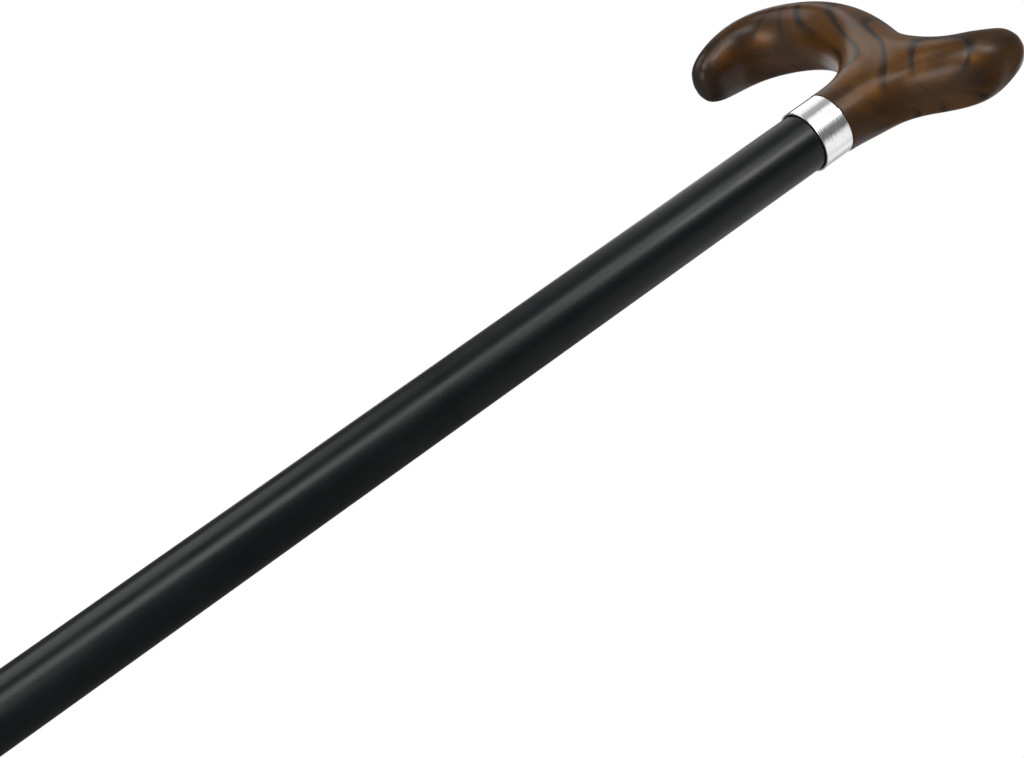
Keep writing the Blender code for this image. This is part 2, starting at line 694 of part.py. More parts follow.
def handle_cage():
    """The handle's cage: rings from tail to nose, with the neck grown from the underside."""
    bm = bmesh.new()
    last = len(HANDLE_STATIONS) - 1
    rings = [station_ring(bm, index) for index in range(last + 1)]
    for index in range(last):
        pair = HANDLE_STATIONS[index : index + 2]
        over_neck = all(station in NECK_STATIONS for station in pair)
        join_rings(bm, rings[index], rings[index + 1], UNDERSIDE[:-1] if over_neck else ())
    round_end(bm, rings[0], spine_direction(0) * -TAIL_CAP_DEPTH, TAIL_CAP_SHRINK)
    round_end(bm, rings[last], spine_direction(last) * NOSE_CAP_DEPTH, NOSE_CAP_SHRINK)
    tail, middle, nose = (rings[HANDLE_STATIONS.index(station)] for station in NECK_STATIONS)
    right, under, left = UNDERSIDE
    mouth = [tail[under], tail[left], middle[left], nose[left]]
    mouth += [nose[under], nose[right], middle[right], tail[right]]
    bm.verts.remove(middle[under])
    flare_height = SADDLE[1] - SADDLE[2] - NECK_FLARE_DROP
    flare = neck_ring(bm, flare_height, NECK_FLARE_LENGTH, NECK_FLARE_WIDTH, NECK_FLARE_BACK)
    waist = neck_ring(bm, NECK_WAIST_HEIGHT, NECK_RADIUS, NECK_WAIST_WIDTH, NECK_WAIST_BACK)
    base = neck_ring(bm, 0.0, NECK_RADIUS, NECK_RADIUS)
    join_rings(bm, mouth, flare)
    join_rings(bm, flare, waist)
    join_rings(bm, waist, base)
    bm.faces.new(base)
    crease = bm.edges.layers.float.new("crease_edge")
    for edge in bm.edges:
        if all(vert in base for vert in edge.verts):
            edge[crease] = 1.0
    return bm


def handle(material, parent):
    """The carved handle, bored from below for the stud and its insert."""
    place = (0.0, 0.0, NECK_BASE)
    piece = add_piece("handle", handle_cage(), material, parent, place)
    piece.data.shade_smooth()
    carving = piece.modifiers.new("carving", "SUBSURF")
    carving.levels = CARVING_LEVELS
    carving.render_levels = CARVING_LEVELS
    wide = INSERT_RADIUS + SEAT_GAP
    step = SEAT_GAP + INSERT_LENGTH + SEAT_GAP
    outline = (
        (0.0, -step),
        (wide, -step),
        (wide, step),
        (STUD_HOLE, step),
        (STUD_HOLE, STUD_IN_WOOD + SEAT_GAP),
        (0.0, STUD_IN_WOOD + SEAT_GAP),
    )
    cut(piece, "handle_bore", turned(outline, SMALL_SIDES), parent, place)
    return piece


def main():
    clear_scene()
    wood = finish("figured_wood", (0.115, 0.052, 0.026), 0.35)
    bright = finish("polished_aluminium", (0.80, 0.81, 0.82), 0.18, 1.0)
    black = finish("satin_black", (0.012, 0.013, 0.015), 0.42)
    plastic = finish("black_plastic", (0.020, 0.020, 0.022), 0.50)
    pale_plastic = finish("natural_nylon", (0.55, 0.54, 0.50), 0.45)
    steel = finish("zinc_steel", (0.55, 0.56, 0.58), 0.32, 1.0)
    brass = finish("brass", (0.72, 0.50, 0.22), 0.30, 1.0)
    rubber = finish("black_rubber", (0.022, 0.022, 0.022), 0.75)

    ferrule(rubber)
    ferrule_disc(steel)
    lower_tube(black)
    slide_bush(pale_plastic)
    leaf_spring(steel)

    button_axis = frame_at("button_axis", (0.0, 0.0, BUTTON_HEIGHT))
    snap_button(steel, button_axis)

    height_axis = frame_at("height_axis", (0.0, 0.0, UPPER_TUBE_BOTTOM))
    upper_tube(black, height_axis)
    thread_sleeve(plastic, height_axis)
    tube_plug(bright, height_axis)
    plug_washer(steel, height_axis)
    spring_washer(steel, height_axis)
    plug_nut(steel, height_axis)
    set_screw("set_screw_left", 1, steel, height_axis)
    set_screw("set_screw_right", -1, steel, height_axis)
    handle_stud(steel, height_axis)
    handle_insert(brass, height_axis)
    collar(bright, height_axis)
    handle(wood, height_axis)

    nut_slide_axis = frame_at("nut_slide_axis", (0.0, 0.0, 0.0), height_axis)
    grip_ring(pale_plastic, nut_slide_axis)
    nut_turn_axis = frame_at("nut_turn_axis", (0.0, 0.0, 0.0), nut_slide_axis)
    lock_nut(plastic, nut_turn_axis)


main()
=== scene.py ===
# %% [markdown]
# # A derby cane
#
# A carved handle of figured wood sits on a polished collar and a long black tube. The tube slides on a
# thinner one, a sprung button and a lock nut hold its height, and a rubber ferrule stands on the floor.
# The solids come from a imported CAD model. This lesson gives the cane its fine shapes, its finishes, its
# studio and its camera. Everything is in metres, with +Z up and the handle's nose towards +X.

# %% Load the frame
import json
import math

import bmesh
import bpy
from mathutils import Matrix, Vector
from mathutils.bvhtree import BVHTree


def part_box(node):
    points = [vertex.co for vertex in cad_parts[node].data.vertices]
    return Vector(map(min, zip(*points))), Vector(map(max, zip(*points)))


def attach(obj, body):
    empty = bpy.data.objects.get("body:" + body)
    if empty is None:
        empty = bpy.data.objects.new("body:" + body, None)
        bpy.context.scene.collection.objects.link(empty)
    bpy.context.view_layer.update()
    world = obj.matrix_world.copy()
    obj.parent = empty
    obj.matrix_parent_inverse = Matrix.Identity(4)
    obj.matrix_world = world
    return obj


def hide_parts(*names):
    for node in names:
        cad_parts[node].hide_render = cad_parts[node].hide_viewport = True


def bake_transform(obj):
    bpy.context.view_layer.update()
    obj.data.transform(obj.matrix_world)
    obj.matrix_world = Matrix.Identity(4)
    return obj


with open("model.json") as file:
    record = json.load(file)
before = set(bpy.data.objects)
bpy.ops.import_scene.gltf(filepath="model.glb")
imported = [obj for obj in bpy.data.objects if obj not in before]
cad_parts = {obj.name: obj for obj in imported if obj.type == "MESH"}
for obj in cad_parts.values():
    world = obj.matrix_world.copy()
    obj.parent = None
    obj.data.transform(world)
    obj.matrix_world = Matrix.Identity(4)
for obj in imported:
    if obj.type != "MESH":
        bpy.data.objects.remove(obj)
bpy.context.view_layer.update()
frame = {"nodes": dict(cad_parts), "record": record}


def rounded(box):
    """A box's corners, short enough to print."""
    return [[round(number, 4) for number in corner] for corner in box]


# %% [markdown]
# ## The camera
#
# The photograph looks slightly up at the handle, from behind its tail and from the left. Blender's camera
# looks along its own -Z, so its matrix needs three directions and a place: its right, its up, and the
# direction back towards the photographer. They were measured from the round collar and the straight tube.
# The lens follows from how fast the tube's width shrinks with distance.

# %% Camera
PICTURE_WIDTH = 1024
PIXELS_PER_TANGENT = 1900
SENSOR_WIDTH = 36.0      # in millimetres
CAMERA_RIGHT = Vector((-0.5085, -0.3783, 0.7735))
CAMERA_UP = Vector((0.2511, 0.7942, 0.5534))
CAMERA_BACK = Vector((-0.8237, 0.4756, -0.3089))
CAMERA_PLACE = Vector((-0.5300, 0.2967, 0.4550))


def new_object(name, data):
    """An object in the scene, from a mesh, a lamp or a camera."""
    thing = bpy.data.objects.new(name, data)
    bpy.context.scene.collection.objects.link(thing)
    return thing


camera_data = bpy.data.cameras.new("photographer")
camera_data.sensor_width = SENSOR_WIDTH
camera_data.lens = PIXELS_PER_TANGENT / PICTURE_WIDTH * SENSOR_WIDTH
camera = new_object("photographer", camera_data)
turn = Matrix((CAMERA_RIGHT, CAMERA_UP, CAMERA_BACK)).transposed().to_4x4()
camera.matrix_world = Matrix.Translation(CAMERA_PLACE) @ turn
bpy.context.scene.camera = camera
tilt = math.degrees(math.asin(-CAMERA_BACK.z))
print("a lens of", round(camera_data.lens, 1), "mm, looking", round(tilt, 1), "degrees up")

# %% [markdown]
# ## The floor
#
# A product studio hides its walls: the floor is plain and pale, and large soft lamps stand out of view. The
# floor is one flat square that reaches far past the picture. A curved paper sweep would hide the horizon as
# well, but this camera looks up and never sees one. The floor belongs to the studio and not to the cane.

# %% Floor
FLOOR_HALF = 3.0


def mesh_from(name, bm):
    """A mesh with the bmesh's shape. The bmesh is freed."""
    mesh = bpy.data.meshes.new(name)
    bm.to_mesh(mesh)
    bm.free()
    return mesh


bm = bmesh.new()
bmesh.ops.create_grid(bm, x_segments=1, y_segments=1, size=FLOOR_HALF)
floor = new_object("studio_floor", mesh_from("studio_floor", bm))
print("a floor", FLOOR_HALF * 2, "m wide")

# %% [markdown]
# ## Helpers for shader nodes
#
# A finish is a tree of nodes. In the Shader Editor one adds, sets and links them by hand, and in a script
# that takes several lines for each node. These short helpers make a node, link what goes in, and return
# what comes out, so a finish further down reads almost like a formula.


# %% Helpers for shader nodes
def add_node(tree, kind, **settings):
    """A new node with its settings."""
    node = tree.nodes.new(kind)
    for name, value in settings.items():
        setattr(node, name, value)
    return node


def feed(tree, target, source):
    """Sets a socket to a number or colour, or links it to another node's output."""
    if isinstance(source, bpy.types.NodeSocket):
        tree.links.new(source, target)
    else:
        target.default_value = source


def calculate(tree, operation, *values, clamp=False):
    """A Math node on numbers or sockets."""
    node = add_node(tree, "ShaderNodeMath", operation=operation, use_clamp=clamp)
    for socket, value in zip(node.inputs, values):
        feed(tree, socket, value)
    return node.outputs[0]


def split(tree, vector):
    """A vector's three numbers."""
    node = add_node(tree, "ShaderNodeSeparateXYZ")
    feed(tree, node.inputs[0], vector)
    return node.outputs["X"], node.outputs["Y"], node.outputs["Z"]


def mix_colours(tree, share, first, second):
    """A colour between two others, by a share from 0 to 1."""
    node = add_node(tree, "ShaderNodeMix", data_type="RGBA")
    feed(tree, node.inputs["Factor"], share)
    feed(tree, node.inputs[6], first)
    feed(tree, node.inputs[7], second)
    return node.outputs[2]


def grey(level):
    """A neutral colour."""
    return (level, level, level, 1.0)


def ramp(tree, value, stops):
    """A Color Ramp, from pairs of a position and a grey level or colour."""
    node = add_node(tree, "ShaderNodeValToRGB")
    elements = node.color_ramp.elements
    for count, (position, colour) in enumerate(stops):
        point = elements[count] if count < 2 else elements.new(position)
        point.position = position
        point.color = grey(colour) if isinstance(colour, float) else (*colour[:3], 1.0)
    feed(tree, node.inputs["Fac"], value)
    return node.outputs["Color"]


def ray_kinds(tree):
    """Two masks: rays that come from the camera, also through glass, and rays that come off a gloss."""
    rays = add_node(tree, "ShaderNodeLightPath")
    seen = calculate(tree, "MAXIMUM", rays.outputs["Is Camera Ray"], rays.outputs["Is Transmission Ray"])
    return seen, rays.outputs["Is Glossy Ray"]


print("helpers for nodes are ready")

# %% [markdown]
# ## The floor's colour
#
# Studio paper is matt and pale, but at a plain level of light it comes out as a middle grey. More lamps would
# make it pale and wash out the cane with it. So the paper glows a little, and only for rays that come straight
# from the camera: the ground is pale, the cane's shadow stays on it, and the cane gets no extra light.
# Polished metal sees a little of that glow too.

# %% Floor's colour
FLOOR_SHADE = 0.80
FLOOR_GLOW = 0.45
GLOSS_GLOW = 0.06
floor_finish = bpy.data.materials.new("pale_floor")
floor_finish.use_nodes = True
tree = floor_finish.node_tree
shader = tree.nodes["Principled BSDF"]
shader.inputs["Base Color"].default_value = grey(FLOOR_SHADE)
shader.inputs["Roughness"].default_value = 0.9
shader.inputs["Specular IOR Level"].default_value = 0.1
seen, glossy = ray_kinds(tree)
mirrored = mix_colours(tree, glossy, grey(0.0), grey(GLOSS_GLOW))
feed(tree, shader.inputs["Emission Color"], mix_colours(tree, seen, mirrored, grey(FLOOR_GLOW)))
shader.inputs["Emission Strength"].default_value = 1.0
floor.data.materials.append(floor_finish)
print("the floor reflects", FLOOR_SHADE * 100, "per cent")

# %% [markdown]
# ## The surroundings
#
# A polished collar is a curved mirror, and what it shows is the studio: pale boards with dark gaps between
# them. One could model the boards round the cane. Here the world's own colour does it: a ramp over the
# compass direction gives the boards and gaps, and only gloss sees them. Matt surfaces get a plain dim grey,
# which leaves the shading to the lamps, and the camera sees white.

# %% Surroundings
AMBIENT = 0.16
# Each stop is a compass direction in degrees and how bright a gloss sees the ring of reflectors there.
GLOSS_BANDS = (
    (-180, 0.14), (-176, 0.15), (-168, 0.65), (-158, 0.90), (-126, 0.90), (-116, 0.68), (-98, 0.92),
    (-82, 0.68), (-66, 0.36), (-50, 0.72), (-34, 0.92), (-20, 1.05), (40, 1.05), (56, 0.88), (63, 0.45),
    (87, 0.36), (93, 1.0), (102, 1.05), (143, 1.05), (150, 0.55), (155, 0.20), (172, 0.17), (180, 0.16),
)
# The ring fades in and out between these heights, as shares of the way from straight down to straight up.
RING_HEIGHTS = ((0.0, 0.0), (0.68, 0.0), (0.715, 1.0), (0.77, 1.0), (0.80, 0.10), (1.0, 0.15))
OFF_THE_RING = 0.12
# The reflectors lean. Their edges shift by this share of a turn for each unit of height, counted from a height.
LEAN, LEAN_FROM = 0.8, 0.75

world = bpy.data.worlds.new("studio_surroundings")
bpy.context.scene.world = world
world.use_nodes = True
tree = world.node_tree
tree.nodes.clear()
east, north, rise = split(tree, add_node(tree, "ShaderNodeTexCoord").outputs["Generated"])
compass = calculate(tree, "ARCTAN2", north, east)
height = calculate(tree, "MULTIPLY_ADD", rise, 0.5, 0.5)
lean = calculate(tree, "MULTIPLY_ADD", height, LEAN, 0.5 - LEAN_FROM * LEAN)
share = calculate(tree, "FRACT", calculate(tree, "MULTIPLY_ADD", compass, 1 / math.tau, lean))
bands = ramp(tree, share, [((angle + 180) / 360, float(level)) for angle, level in GLOSS_BANDS])
ring = ramp(tree, height, RING_HEIGHTS)
bands = mix_colours(tree, ring, grey(OFF_THE_RING), bands)
seen, glossy = ray_kinds(tree)
around = mix_colours(tree, glossy, grey(AMBIENT), bands)
background = add_node(tree, "ShaderNodeBackground")
feed(tree, background.inputs["Color"], mix_colours(tree, seen, around, grey(1.0)))
output = add_node(tree, "ShaderNodeOutputWorld")
feed(tree, output.inputs["Surface"], background.outputs[0])
print("surroundings with", len(GLOSS_BANDS), "stops")

# %% [markdown]
# ## The lamps
#
# Each soft highlight on the cane is the mirror picture of a lamp, so a lamp's place follows from where the
# photograph shows the highlight: it is the direction to the camera, reflected by the surface there. Point
# lamps or a sun would make small hard glints. Area lamps have the soft edges of softboxes. Three of the keys
# stand above each other and make one long highlight down the tube. The low key lights the wood from below,
# and the others lighten the sides that the photograph doesn't show.

# %% Lamps
HANDLE_MIDDLE = Vector((0.030, 0.0, 0.850))
# Each lamp gives its angles round from +X towards +Y and up from level, its distance, width and height, and
# its radiance, which is how bright its face looks.
LAMPS = {
    "upper_key": (134, 22, 1.0, 0.27, 0.28, 5.6),
    "middle_key": (119, -12, 1.0, 0.37, 0.56, 3.3),
    "between_key": (114, 14, 1.0, 0.26, 0.34, 2.4),
    "low_key": (146, -62, 0.6, 0.17, 0.43, 3.2),
    "side_fill": (60, -18, 1.2, 0.85, 0.85, 1.5),
    "back_fill": (-20, 8, 1.2, 0.70, 0.60, 0.65),
    "far_top": (-60, 56, 1.3, 0.50, 0.50, 2.2),
    "far_fill": (-100, -12, 1.5, 0.70, 0.60, 3.0),
}


def softbox(name, azimuth, elevation, distance, width, height, radiance):
    """A rectangular lamp that faces the handle."""
    turn, rise = math.radians(azimuth), math.radians(elevation)
    away = Vector((math.cos(turn) * math.cos(rise), math.sin(turn) * math.cos(rise), math.sin(rise)))
    data = bpy.data.lights.new(name, "AREA")
    data.shape = "RECTANGLE"
    data.size, data.size_y = width, height
    data.energy = radiance * math.pi * width * height
    lamp = new_object(name, data)
    facing = away.to_track_quat("Z", "Y").to_matrix().to_4x4()
    lamp.matrix_world = Matrix.Translation(HANDLE_MIDDLE + away * distance) @ facing
    print(name, "gives", round(data.energy, 1), "W")
    return lamp


lamps = {name: softbox(name, *numbers) for name, numbers in LAMPS.items()}
# The far fill only softens the far side. In a gloss it would lie as a patch under the wood.
lamps["far_fill"].visible_glossy = False

# %% [markdown]
# ## How the pieces are made
#
# Most pieces of a cane come off a lathe, so one helper spins an outline about the tube's axis, as a lathe
# does. Spinning a drawn outline keeps every wall and chamfer an exact size, which adding and scaling
# cylinders by hand would not. Others ease sharp edges with a bevel, turn a finished mesh into a piece that
# rides on its body, and cut holes with Blender's exact Boolean and keep only the result.


# %% Helpers for meshes
def turned(outline, sides):
    """A bmesh turned about Z from an outline of (radius, height) points."""
    bm = bmesh.new()
    points = [bm.verts.new((radius, 0.0, height)) for radius, height in outline]
    edges = [bm.edges.new(pair) for pair in zip(points, points[1:])]
    if outline[0][0] > 0.0:
        edges.append(bm.edges.new((points[-1], points[0])))
    bmesh.ops.spin(
        bm, geom=points + edges, cent=(0, 0, 0), axis=(0, 0, 1), angle=math.tau, steps=sides, use_merge=True
    )
    bmesh.ops.remove_doubles(bm, verts=bm.verts, dist=1e-6)
    bmesh.ops.recalc_face_normals(bm, faces=bm.faces)
    return bm


def eased(bm, width, angle=25.0, segments=3):
    """Rounds the edges that turn by more than the angle."""
    sharp = [edge for edge in bm.edges if edge.is_manifold and edge.calc_face_angle(0.0) > math.radians(angle)]
    bmesh.ops.bevel(
        bm, geom=sharp, offset=width, offset_type="OFFSET", segments=segments, profile=0.5,
        affect="EDGES", material=-1, clamp_overlap=True, loop_slide=True,
    )
    return bm


def rod(bm, radius, start, end, sides=48):
    """Adds a closed cylinder between two points."""
    start = Vector(start)
    along = Vector(end) - start
    turn = along.to_track_quat("Z", "Y").to_matrix().to_4x4()
    bmesh.ops.create_cone(
        bm, cap_ends=True, segments=sides, radius1=radius, radius2=radius, depth=along.length,
        matrix=Matrix.Translation(start + along / 2) @ turn,
    )


def triangles(mesh):
    """How many triangles a mesh has once its faces are split."""
    return sum(len(face.vertices) - 2 for face in mesh.polygons)


def smooth_over(mesh, angle):
    """Shades a mesh smooth, but keeps the edges sharp that turn by more than the angle."""
    mesh.shade_smooth()
    mesh.set_sharp_from_angle(angle=math.radians(angle))


print("helpers for turning and easing are ready")

# %% [markdown]
# A mesh becomes a piece once it has an object, a body to ride on, a solid of the frame that it stands for,
# and the name of its finish. The finish itself comes much later, so the name is kept until then.

# %% Helpers for pieces
finish_of = {}


def piece_from(name, bm, body, stands_for, finish, sharp=30.0):
    """A piece of the cane from a bmesh. It rides on a body and stands for a solid of the frame."""
    bmesh.ops.recalc_face_normals(bm, faces=bm.faces)
    mesh = mesh_from(name, bm)
    smooth_over(mesh, sharp)
    piece = new_object(name, mesh)
    if body:
        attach(piece, body)
    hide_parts(stands_for)
    finish_of[name] = finish
    print(name, "has", triangles(mesh), "triangles")
    return piece


def apply_modifiers(piece, sharp=30.0):
    """Keeps what the modifiers make, and takes the modifiers off."""
    graph = bpy.context.evaluated_depsgraph_get()
    mesh = bpy.data.meshes.new_from_object(piece.evaluated_get(graph))
    piece.modifiers.clear()
    piece.data = mesh
    smooth_over(mesh, sharp)


def cut(piece, bm, sharp=30.0):
    """Takes the bmesh's shape out of a piece."""
    bmesh.ops.recalc_face_normals(bm, faces=bm.faces)
    cutter = new_object("cutter", mesh_from("cutter", bm))
    boolean = piece.modifiers.new("hole", "BOOLEAN")
    boolean.operation = "DIFFERENCE"
    boolean.solver = "EXACT"
    boolean.object = cutter
    apply_modifiers(piece, sharp)
    bpy.data.objects.remove(cutter)
    print(piece.name, "is cut and has", triangles(piece.data), "triangles")


print("helpers for pieces are ready")

# %% [markdown]
# ## Sizes that the pieces share
#
# The frame's boxes give each solid's corners, so heights and radii are read from them instead of being
# written twice. Only wall thicknesses and holes need numbers of their own.

# %% Shared sizes
FIT = 0.0003
TUBE_WALL = 0.0012
BUTTON_DROP = 0.040      # the button lies this far below the lower tube's end
upper_low, upper_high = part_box("upper_tube")
lower_low, lower_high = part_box("lower_tube")
collar_low, collar_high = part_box("collar")
UPPER_RADIUS = upper_high.y
LOWER_RADIUS = lower_high.y
NECK_BASE = collar_high.z + FIT
BUTTON_HEIGHT = lower_high.z - BUTTON_DROP
print("tubes of", round(UPPER_RADIUS * 2000, 2), "and", round(LOWER_RADIUS * 2000, 2), "mm")

# %% [markdown]
# ## The handle
#
# A derby handle is sawn from a board, then rasped and sanded until no flat is left, so its sections change
# smoothly from the blunt tail over the saddle to the drooping nose. Three ways come to mind: sculpting by
# hand, a curve with a bevel, or a coarse cage under a Subdivision Surface. The cage keeps exact sizes and
# needs few points, so it is used here. Eight rings of eight points follow the wood's spine. The neck grows
# from a mouth that is opened in the underside, and a creased ring keeps its lower edge flat on the collar.

# %% Stations of the wood
# Each station gives its distance ahead of the tube, height above the collar, half thickness and half width.
STATIONS = {
    "tail tip": (-0.0293, 0.0576, 0.0106, 0.0099),
    "tail": (-0.0291, 0.0478, 0.0130, 0.0135),
    "heel": (-0.0172, 0.0395, 0.0131, 0.0129),
    "saddle": (0.0111, 0.0369, 0.0130, 0.0128),
    "rise": (0.0277, 0.0466, 0.0124, 0.0130),
    "crown": (0.0612, 0.0562, 0.0112, 0.0144),
    "brow": (0.0925, 0.0380, 0.0100, 0.0148),
    "nose tip": (0.0877, 0.0117, 0.0076, 0.0121),
}
RING_POINTS = 8
# Subdivision draws a ring of eight points in by this factor, so the cage is made larger by as much.
RING_PULL = (2 + math.cos(math.tau / RING_POINTS)) / 3
print(len(STATIONS), "stations, and a ring shrinks to", round(RING_PULL, 3))

# %% [markdown]
# A ring is made by the circle operator with a matrix of its own, which stretches it to the section's half
# sizes and stands it square to the spine. Extruding from ring to ring would work too, but then every ring
# has to be turned about the last one. The spine's direction at a station comes from its neighbours.


# %% Rings of the cage
def cage_ring(bm, centre, first, second, half_first, half_second, size=1.0):
    """A ring of eight points in the plane of two directions. Its first point lies along the second one."""
    across = Vector(first) * half_first * size / RING_PULL
    along = Vector(second) * half_second * size / RING_PULL
    normal = Vector(first).cross(Vector(second))
    matrix = Matrix((across, along, normal)).transposed().to_4x4()
    matrix.translation = Vector(centre)
    return bmesh.ops.create_circle(bm, segments=RING_POINTS, radius=1.0, matrix=matrix)["verts"]


def ring_edges(points):
    """The edges that run round a ring, in the same order each time."""
    ring = set(points)
    touching = dict.fromkeys(edge for point in points for edge in point.link_edges)
    return [edge for edge in touching if all(point in ring for point in edge.verts)]


def direction_along(index):
    """The spine's direction at a station, from its neighbours."""
    rows = list(STATIONS.values())
    before, after = rows[max(index - 1, 0)], rows[min(index + 1, len(rows) - 1)]
    return Vector((after[0] - before[0], 0.0, after[1] - before[1])).normalized()


print("at the tail the spine runs along", rounded([direction_along(0)])[0])

# %% [markdown]
# The palm lies on the bar. Its rings are joined by bridging their edges, and each blunt end gets one smaller
# ring beyond the last station, closed by a face, which the subdivision rounds off. Round the neck the two
# lower corners of each ring are drawn apart, so that the neck can grow from a wide mouth.

# %% Bar of the handle
# How far along the spine each rounded end's last ring lies beyond its station, and how small that ring is.
ENDS = {"tail tip": (-0.0084, 0.625), "nose tip": (0.0076, 0.50)}
UNDERSIDE_SPREAD = 0.9
UNDERSIDE_CORNERS = (3, 5)
UNDERSIDE_MIDDLE = 4
bm = bmesh.new()
rings = {}
for index, (name, (ahead, height, half_thickness, half_width)) in enumerate(STATIONS.items()):
    along = direction_along(index)
    thick_way = Vector((-along.z, 0.0, along.x))
    centre = Vector((ahead, 0.0, NECK_BASE + height))
    section = ((0, 1, 0), thick_way, half_width, half_thickness)
    rings[name] = cage_ring(bm, centre, *section)
    if name in ENDS:
        beyond, shrink = ENDS[name]
        rings[name + " cap"] = cage_ring(bm, centre + along * beyond, *section, shrink)
for name in ("heel", "saddle", "rise"):
    half_width = STATIONS[name][3] / RING_PULL
    for corner in UNDERSIDE_CORNERS:
        point = rings[name][corner]
        reach = math.copysign(UNDERSIDE_SPREAD * half_width, point.co.y)
        bmesh.ops.translate(bm, verts=[point], vec=(0.0, reach - point.co.y, 0.0))
order = ["tail tip cap", *STATIONS, "nose tip cap"]
for first, second in zip(order, order[1:]):
    bmesh.ops.bridge_loops(bm, edges=ring_edges(rings[first]) + ring_edges(rings[second]))
for name in ENDS:
    bmesh.ops.contextual_create(bm, geom=ring_edges(rings[name + " cap"]))
print("the bar's cage has", len(bm.faces), "faces")

# %% [markdown]
# Neck and bar are one piece of wood, so no seam may show. Taking out the lowest point over the tube opens a
# mouth of eight edges, and three rings lead from it down to the collar. A Boolean union of two shapes would
# leave a hard line all round, and the wood has none.

# %% Neck of the handle
FLARE_DROP = 0.0050
WOOD_PROUD = 0.0001      # how far the wood stands out over the collar
NECK_RADIUS = collar_high.y + WOOD_PROUD
saddle_height, saddle_half = STATIONS["saddle"][1], STATIONS["saddle"][2]
# Each row of the neck gives its height, how far back its middle lies, half its length and half its width.
neck_rows = (
    (saddle_height - saddle_half - FLARE_DROP, 0.0006, 0.0146, 0.0140),
    (0.0079, 0.0008, NECK_RADIUS, NECK_RADIUS + 0.0003),
    (0.0, 0.0, NECK_RADIUS, NECK_RADIUS),
)
around_mouth = (UNDERSIDE_MIDDLE, *UNDERSIDE_CORNERS)
upper_ring = [rings[name][point] for name in ("heel", "rise") for point in around_mouth]
upper_ring += [rings["saddle"][point] for point in UNDERSIDE_CORNERS]
bmesh.ops.delete(bm, geom=[rings["saddle"][UNDERSIDE_MIDDLE]], context="VERTS")
for height, lean, half_length, half_width in neck_rows:
    lower_ring = cage_ring(bm, (-lean, 0, NECK_BASE + height), (0, -1, 0), (-1, 0, 0), half_width, half_length)
    open_edges = [edge for edge in ring_edges(upper_ring) if edge.is_boundary]
    bmesh.ops.bridge_loops(bm, edges=open_edges + ring_edges(lower_ring))
    upper_ring = lower_ring
bmesh.ops.contextual_create(bm, geom=ring_edges(upper_ring))
crease = bm.edges.layers.float.new("crease_edge")
for edge in ring_edges(upper_ring):
    edge[crease] = 1.0
print("the whole cage has", len(bm.verts), "points and", len(bm.faces), "faces")

# %% [markdown]
# Subdivision does what rasp and sandpaper do: it turns the coarse cage into one smooth skin. The rim on the
# collar is eased with a small bevel, as a maker does to keep it from splintering. The bore takes the brass
# insert and, above it, the end of the stud, and a Boolean cuts it. Last, the distance from the CAD solid is
# measured, because the wood that is seen has to be the wood that is simulated.

# %% Carve and bore the handle
CARVING_LEVELS = 4
RIM_EASE = 0.0003
INSERT_HOLE = 0.0063
STUD_HOLE = 0.0043
INSERT_TOP, STUD_TOP, BELOW = 0.0186, 0.0303, -0.01
BORE = (
    (0.0, BELOW), (INSERT_HOLE, BELOW), (INSERT_HOLE, INSERT_TOP),
    (STUD_HOLE, INSERT_TOP), (STUD_HOLE, STUD_TOP), (0.0, STUD_TOP),
)
handle = piece_from("carved_handle", bm, None, "handle", "figured_wood")
carving = handle.modifiers.new("carving", "SUBSURF")
carving.levels = carving.render_levels = CARVING_LEVELS
apply_modifiers(handle)
bm = bmesh.new()
bm.from_mesh(handle.data)
eased(bm, RIM_EASE, angle=40.0)
bm.to_mesh(handle.data)
bm.free()
cut(handle, turned([(radius, NECK_BASE + height) for radius, height in BORE], sides=48))
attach(handle, "upper_shaft")

solid = frame["nodes"]["handle"].data
corners = [vert.co for vert in solid.vertices]
skin = BVHTree.FromPolygons(corners, [tuple(face.vertices) for face in solid.polygons])
farthest = max(skin.find_nearest(vert.co)[3] for vert in handle.data.vertices)
print("the carved handle stays within", round(farthest * 1000, 2), "mm of its solid")

# %% [markdown]
# ## The collar
#
# The bright band is turned from aluminium and polished while it still spins. It covers the joint between
# tube and wood, and a web inside it seats on the tube's end. Its edges are rounded by a fifth of a
# millimetre, which is what catches a thin line of light. Spinning its outline and rounding the sharp edges
# with a bevel gives just that. Smooth shading alone would bend the reflections on the whole wall towards
# the rounded edges, so a Weighted Normal modifier lets the large faces keep their own direction.

# %% Collar
COLLAR_EASE = 0.00022
bore = UPPER_RADIUS + FIT
outline = (
    (STUD_HOLE, upper_high.z + FIT), (bore, upper_high.z + FIT), (bore, collar_low.z),
    (collar_high.y, collar_low.z), (collar_high.y, collar_high.z), (STUD_HOLE, collar_high.z),
)
bm = eased(turned(outline, sides=160), COLLAR_EASE)
band = piece_from("polished_collar", bm, "upper_shaft", "collar", "polished_aluminium", sharp=50.0)
band.modifiers.new("true_walls", "WEIGHTED_NORMAL").keep_sharp = True

# %% [markdown]
# ## The tubes
#
# Both tubes are drawn aluminium with thin walls. The upper one carries a row of seven holes on its tail
# side, and two small holes for the set screws lie under the collar. A Boolean cuts round holes through a
# curved wall at once, where moving points of the wall by hand would only come near the shape.

# %% Upper tube
TUBE_EASE = 0.00015
TUBE_SHARP = 12.0
HOLES = 7
HOLE_PITCH = 0.025
FIRST_HOLE = 0.045
BUTTON_HOLE = 0.0042
SCREW_HOLE = 0.0023
SCREW_DROP = 0.0055
OUTSIDE = 0.02           # farther from the axis than any wall


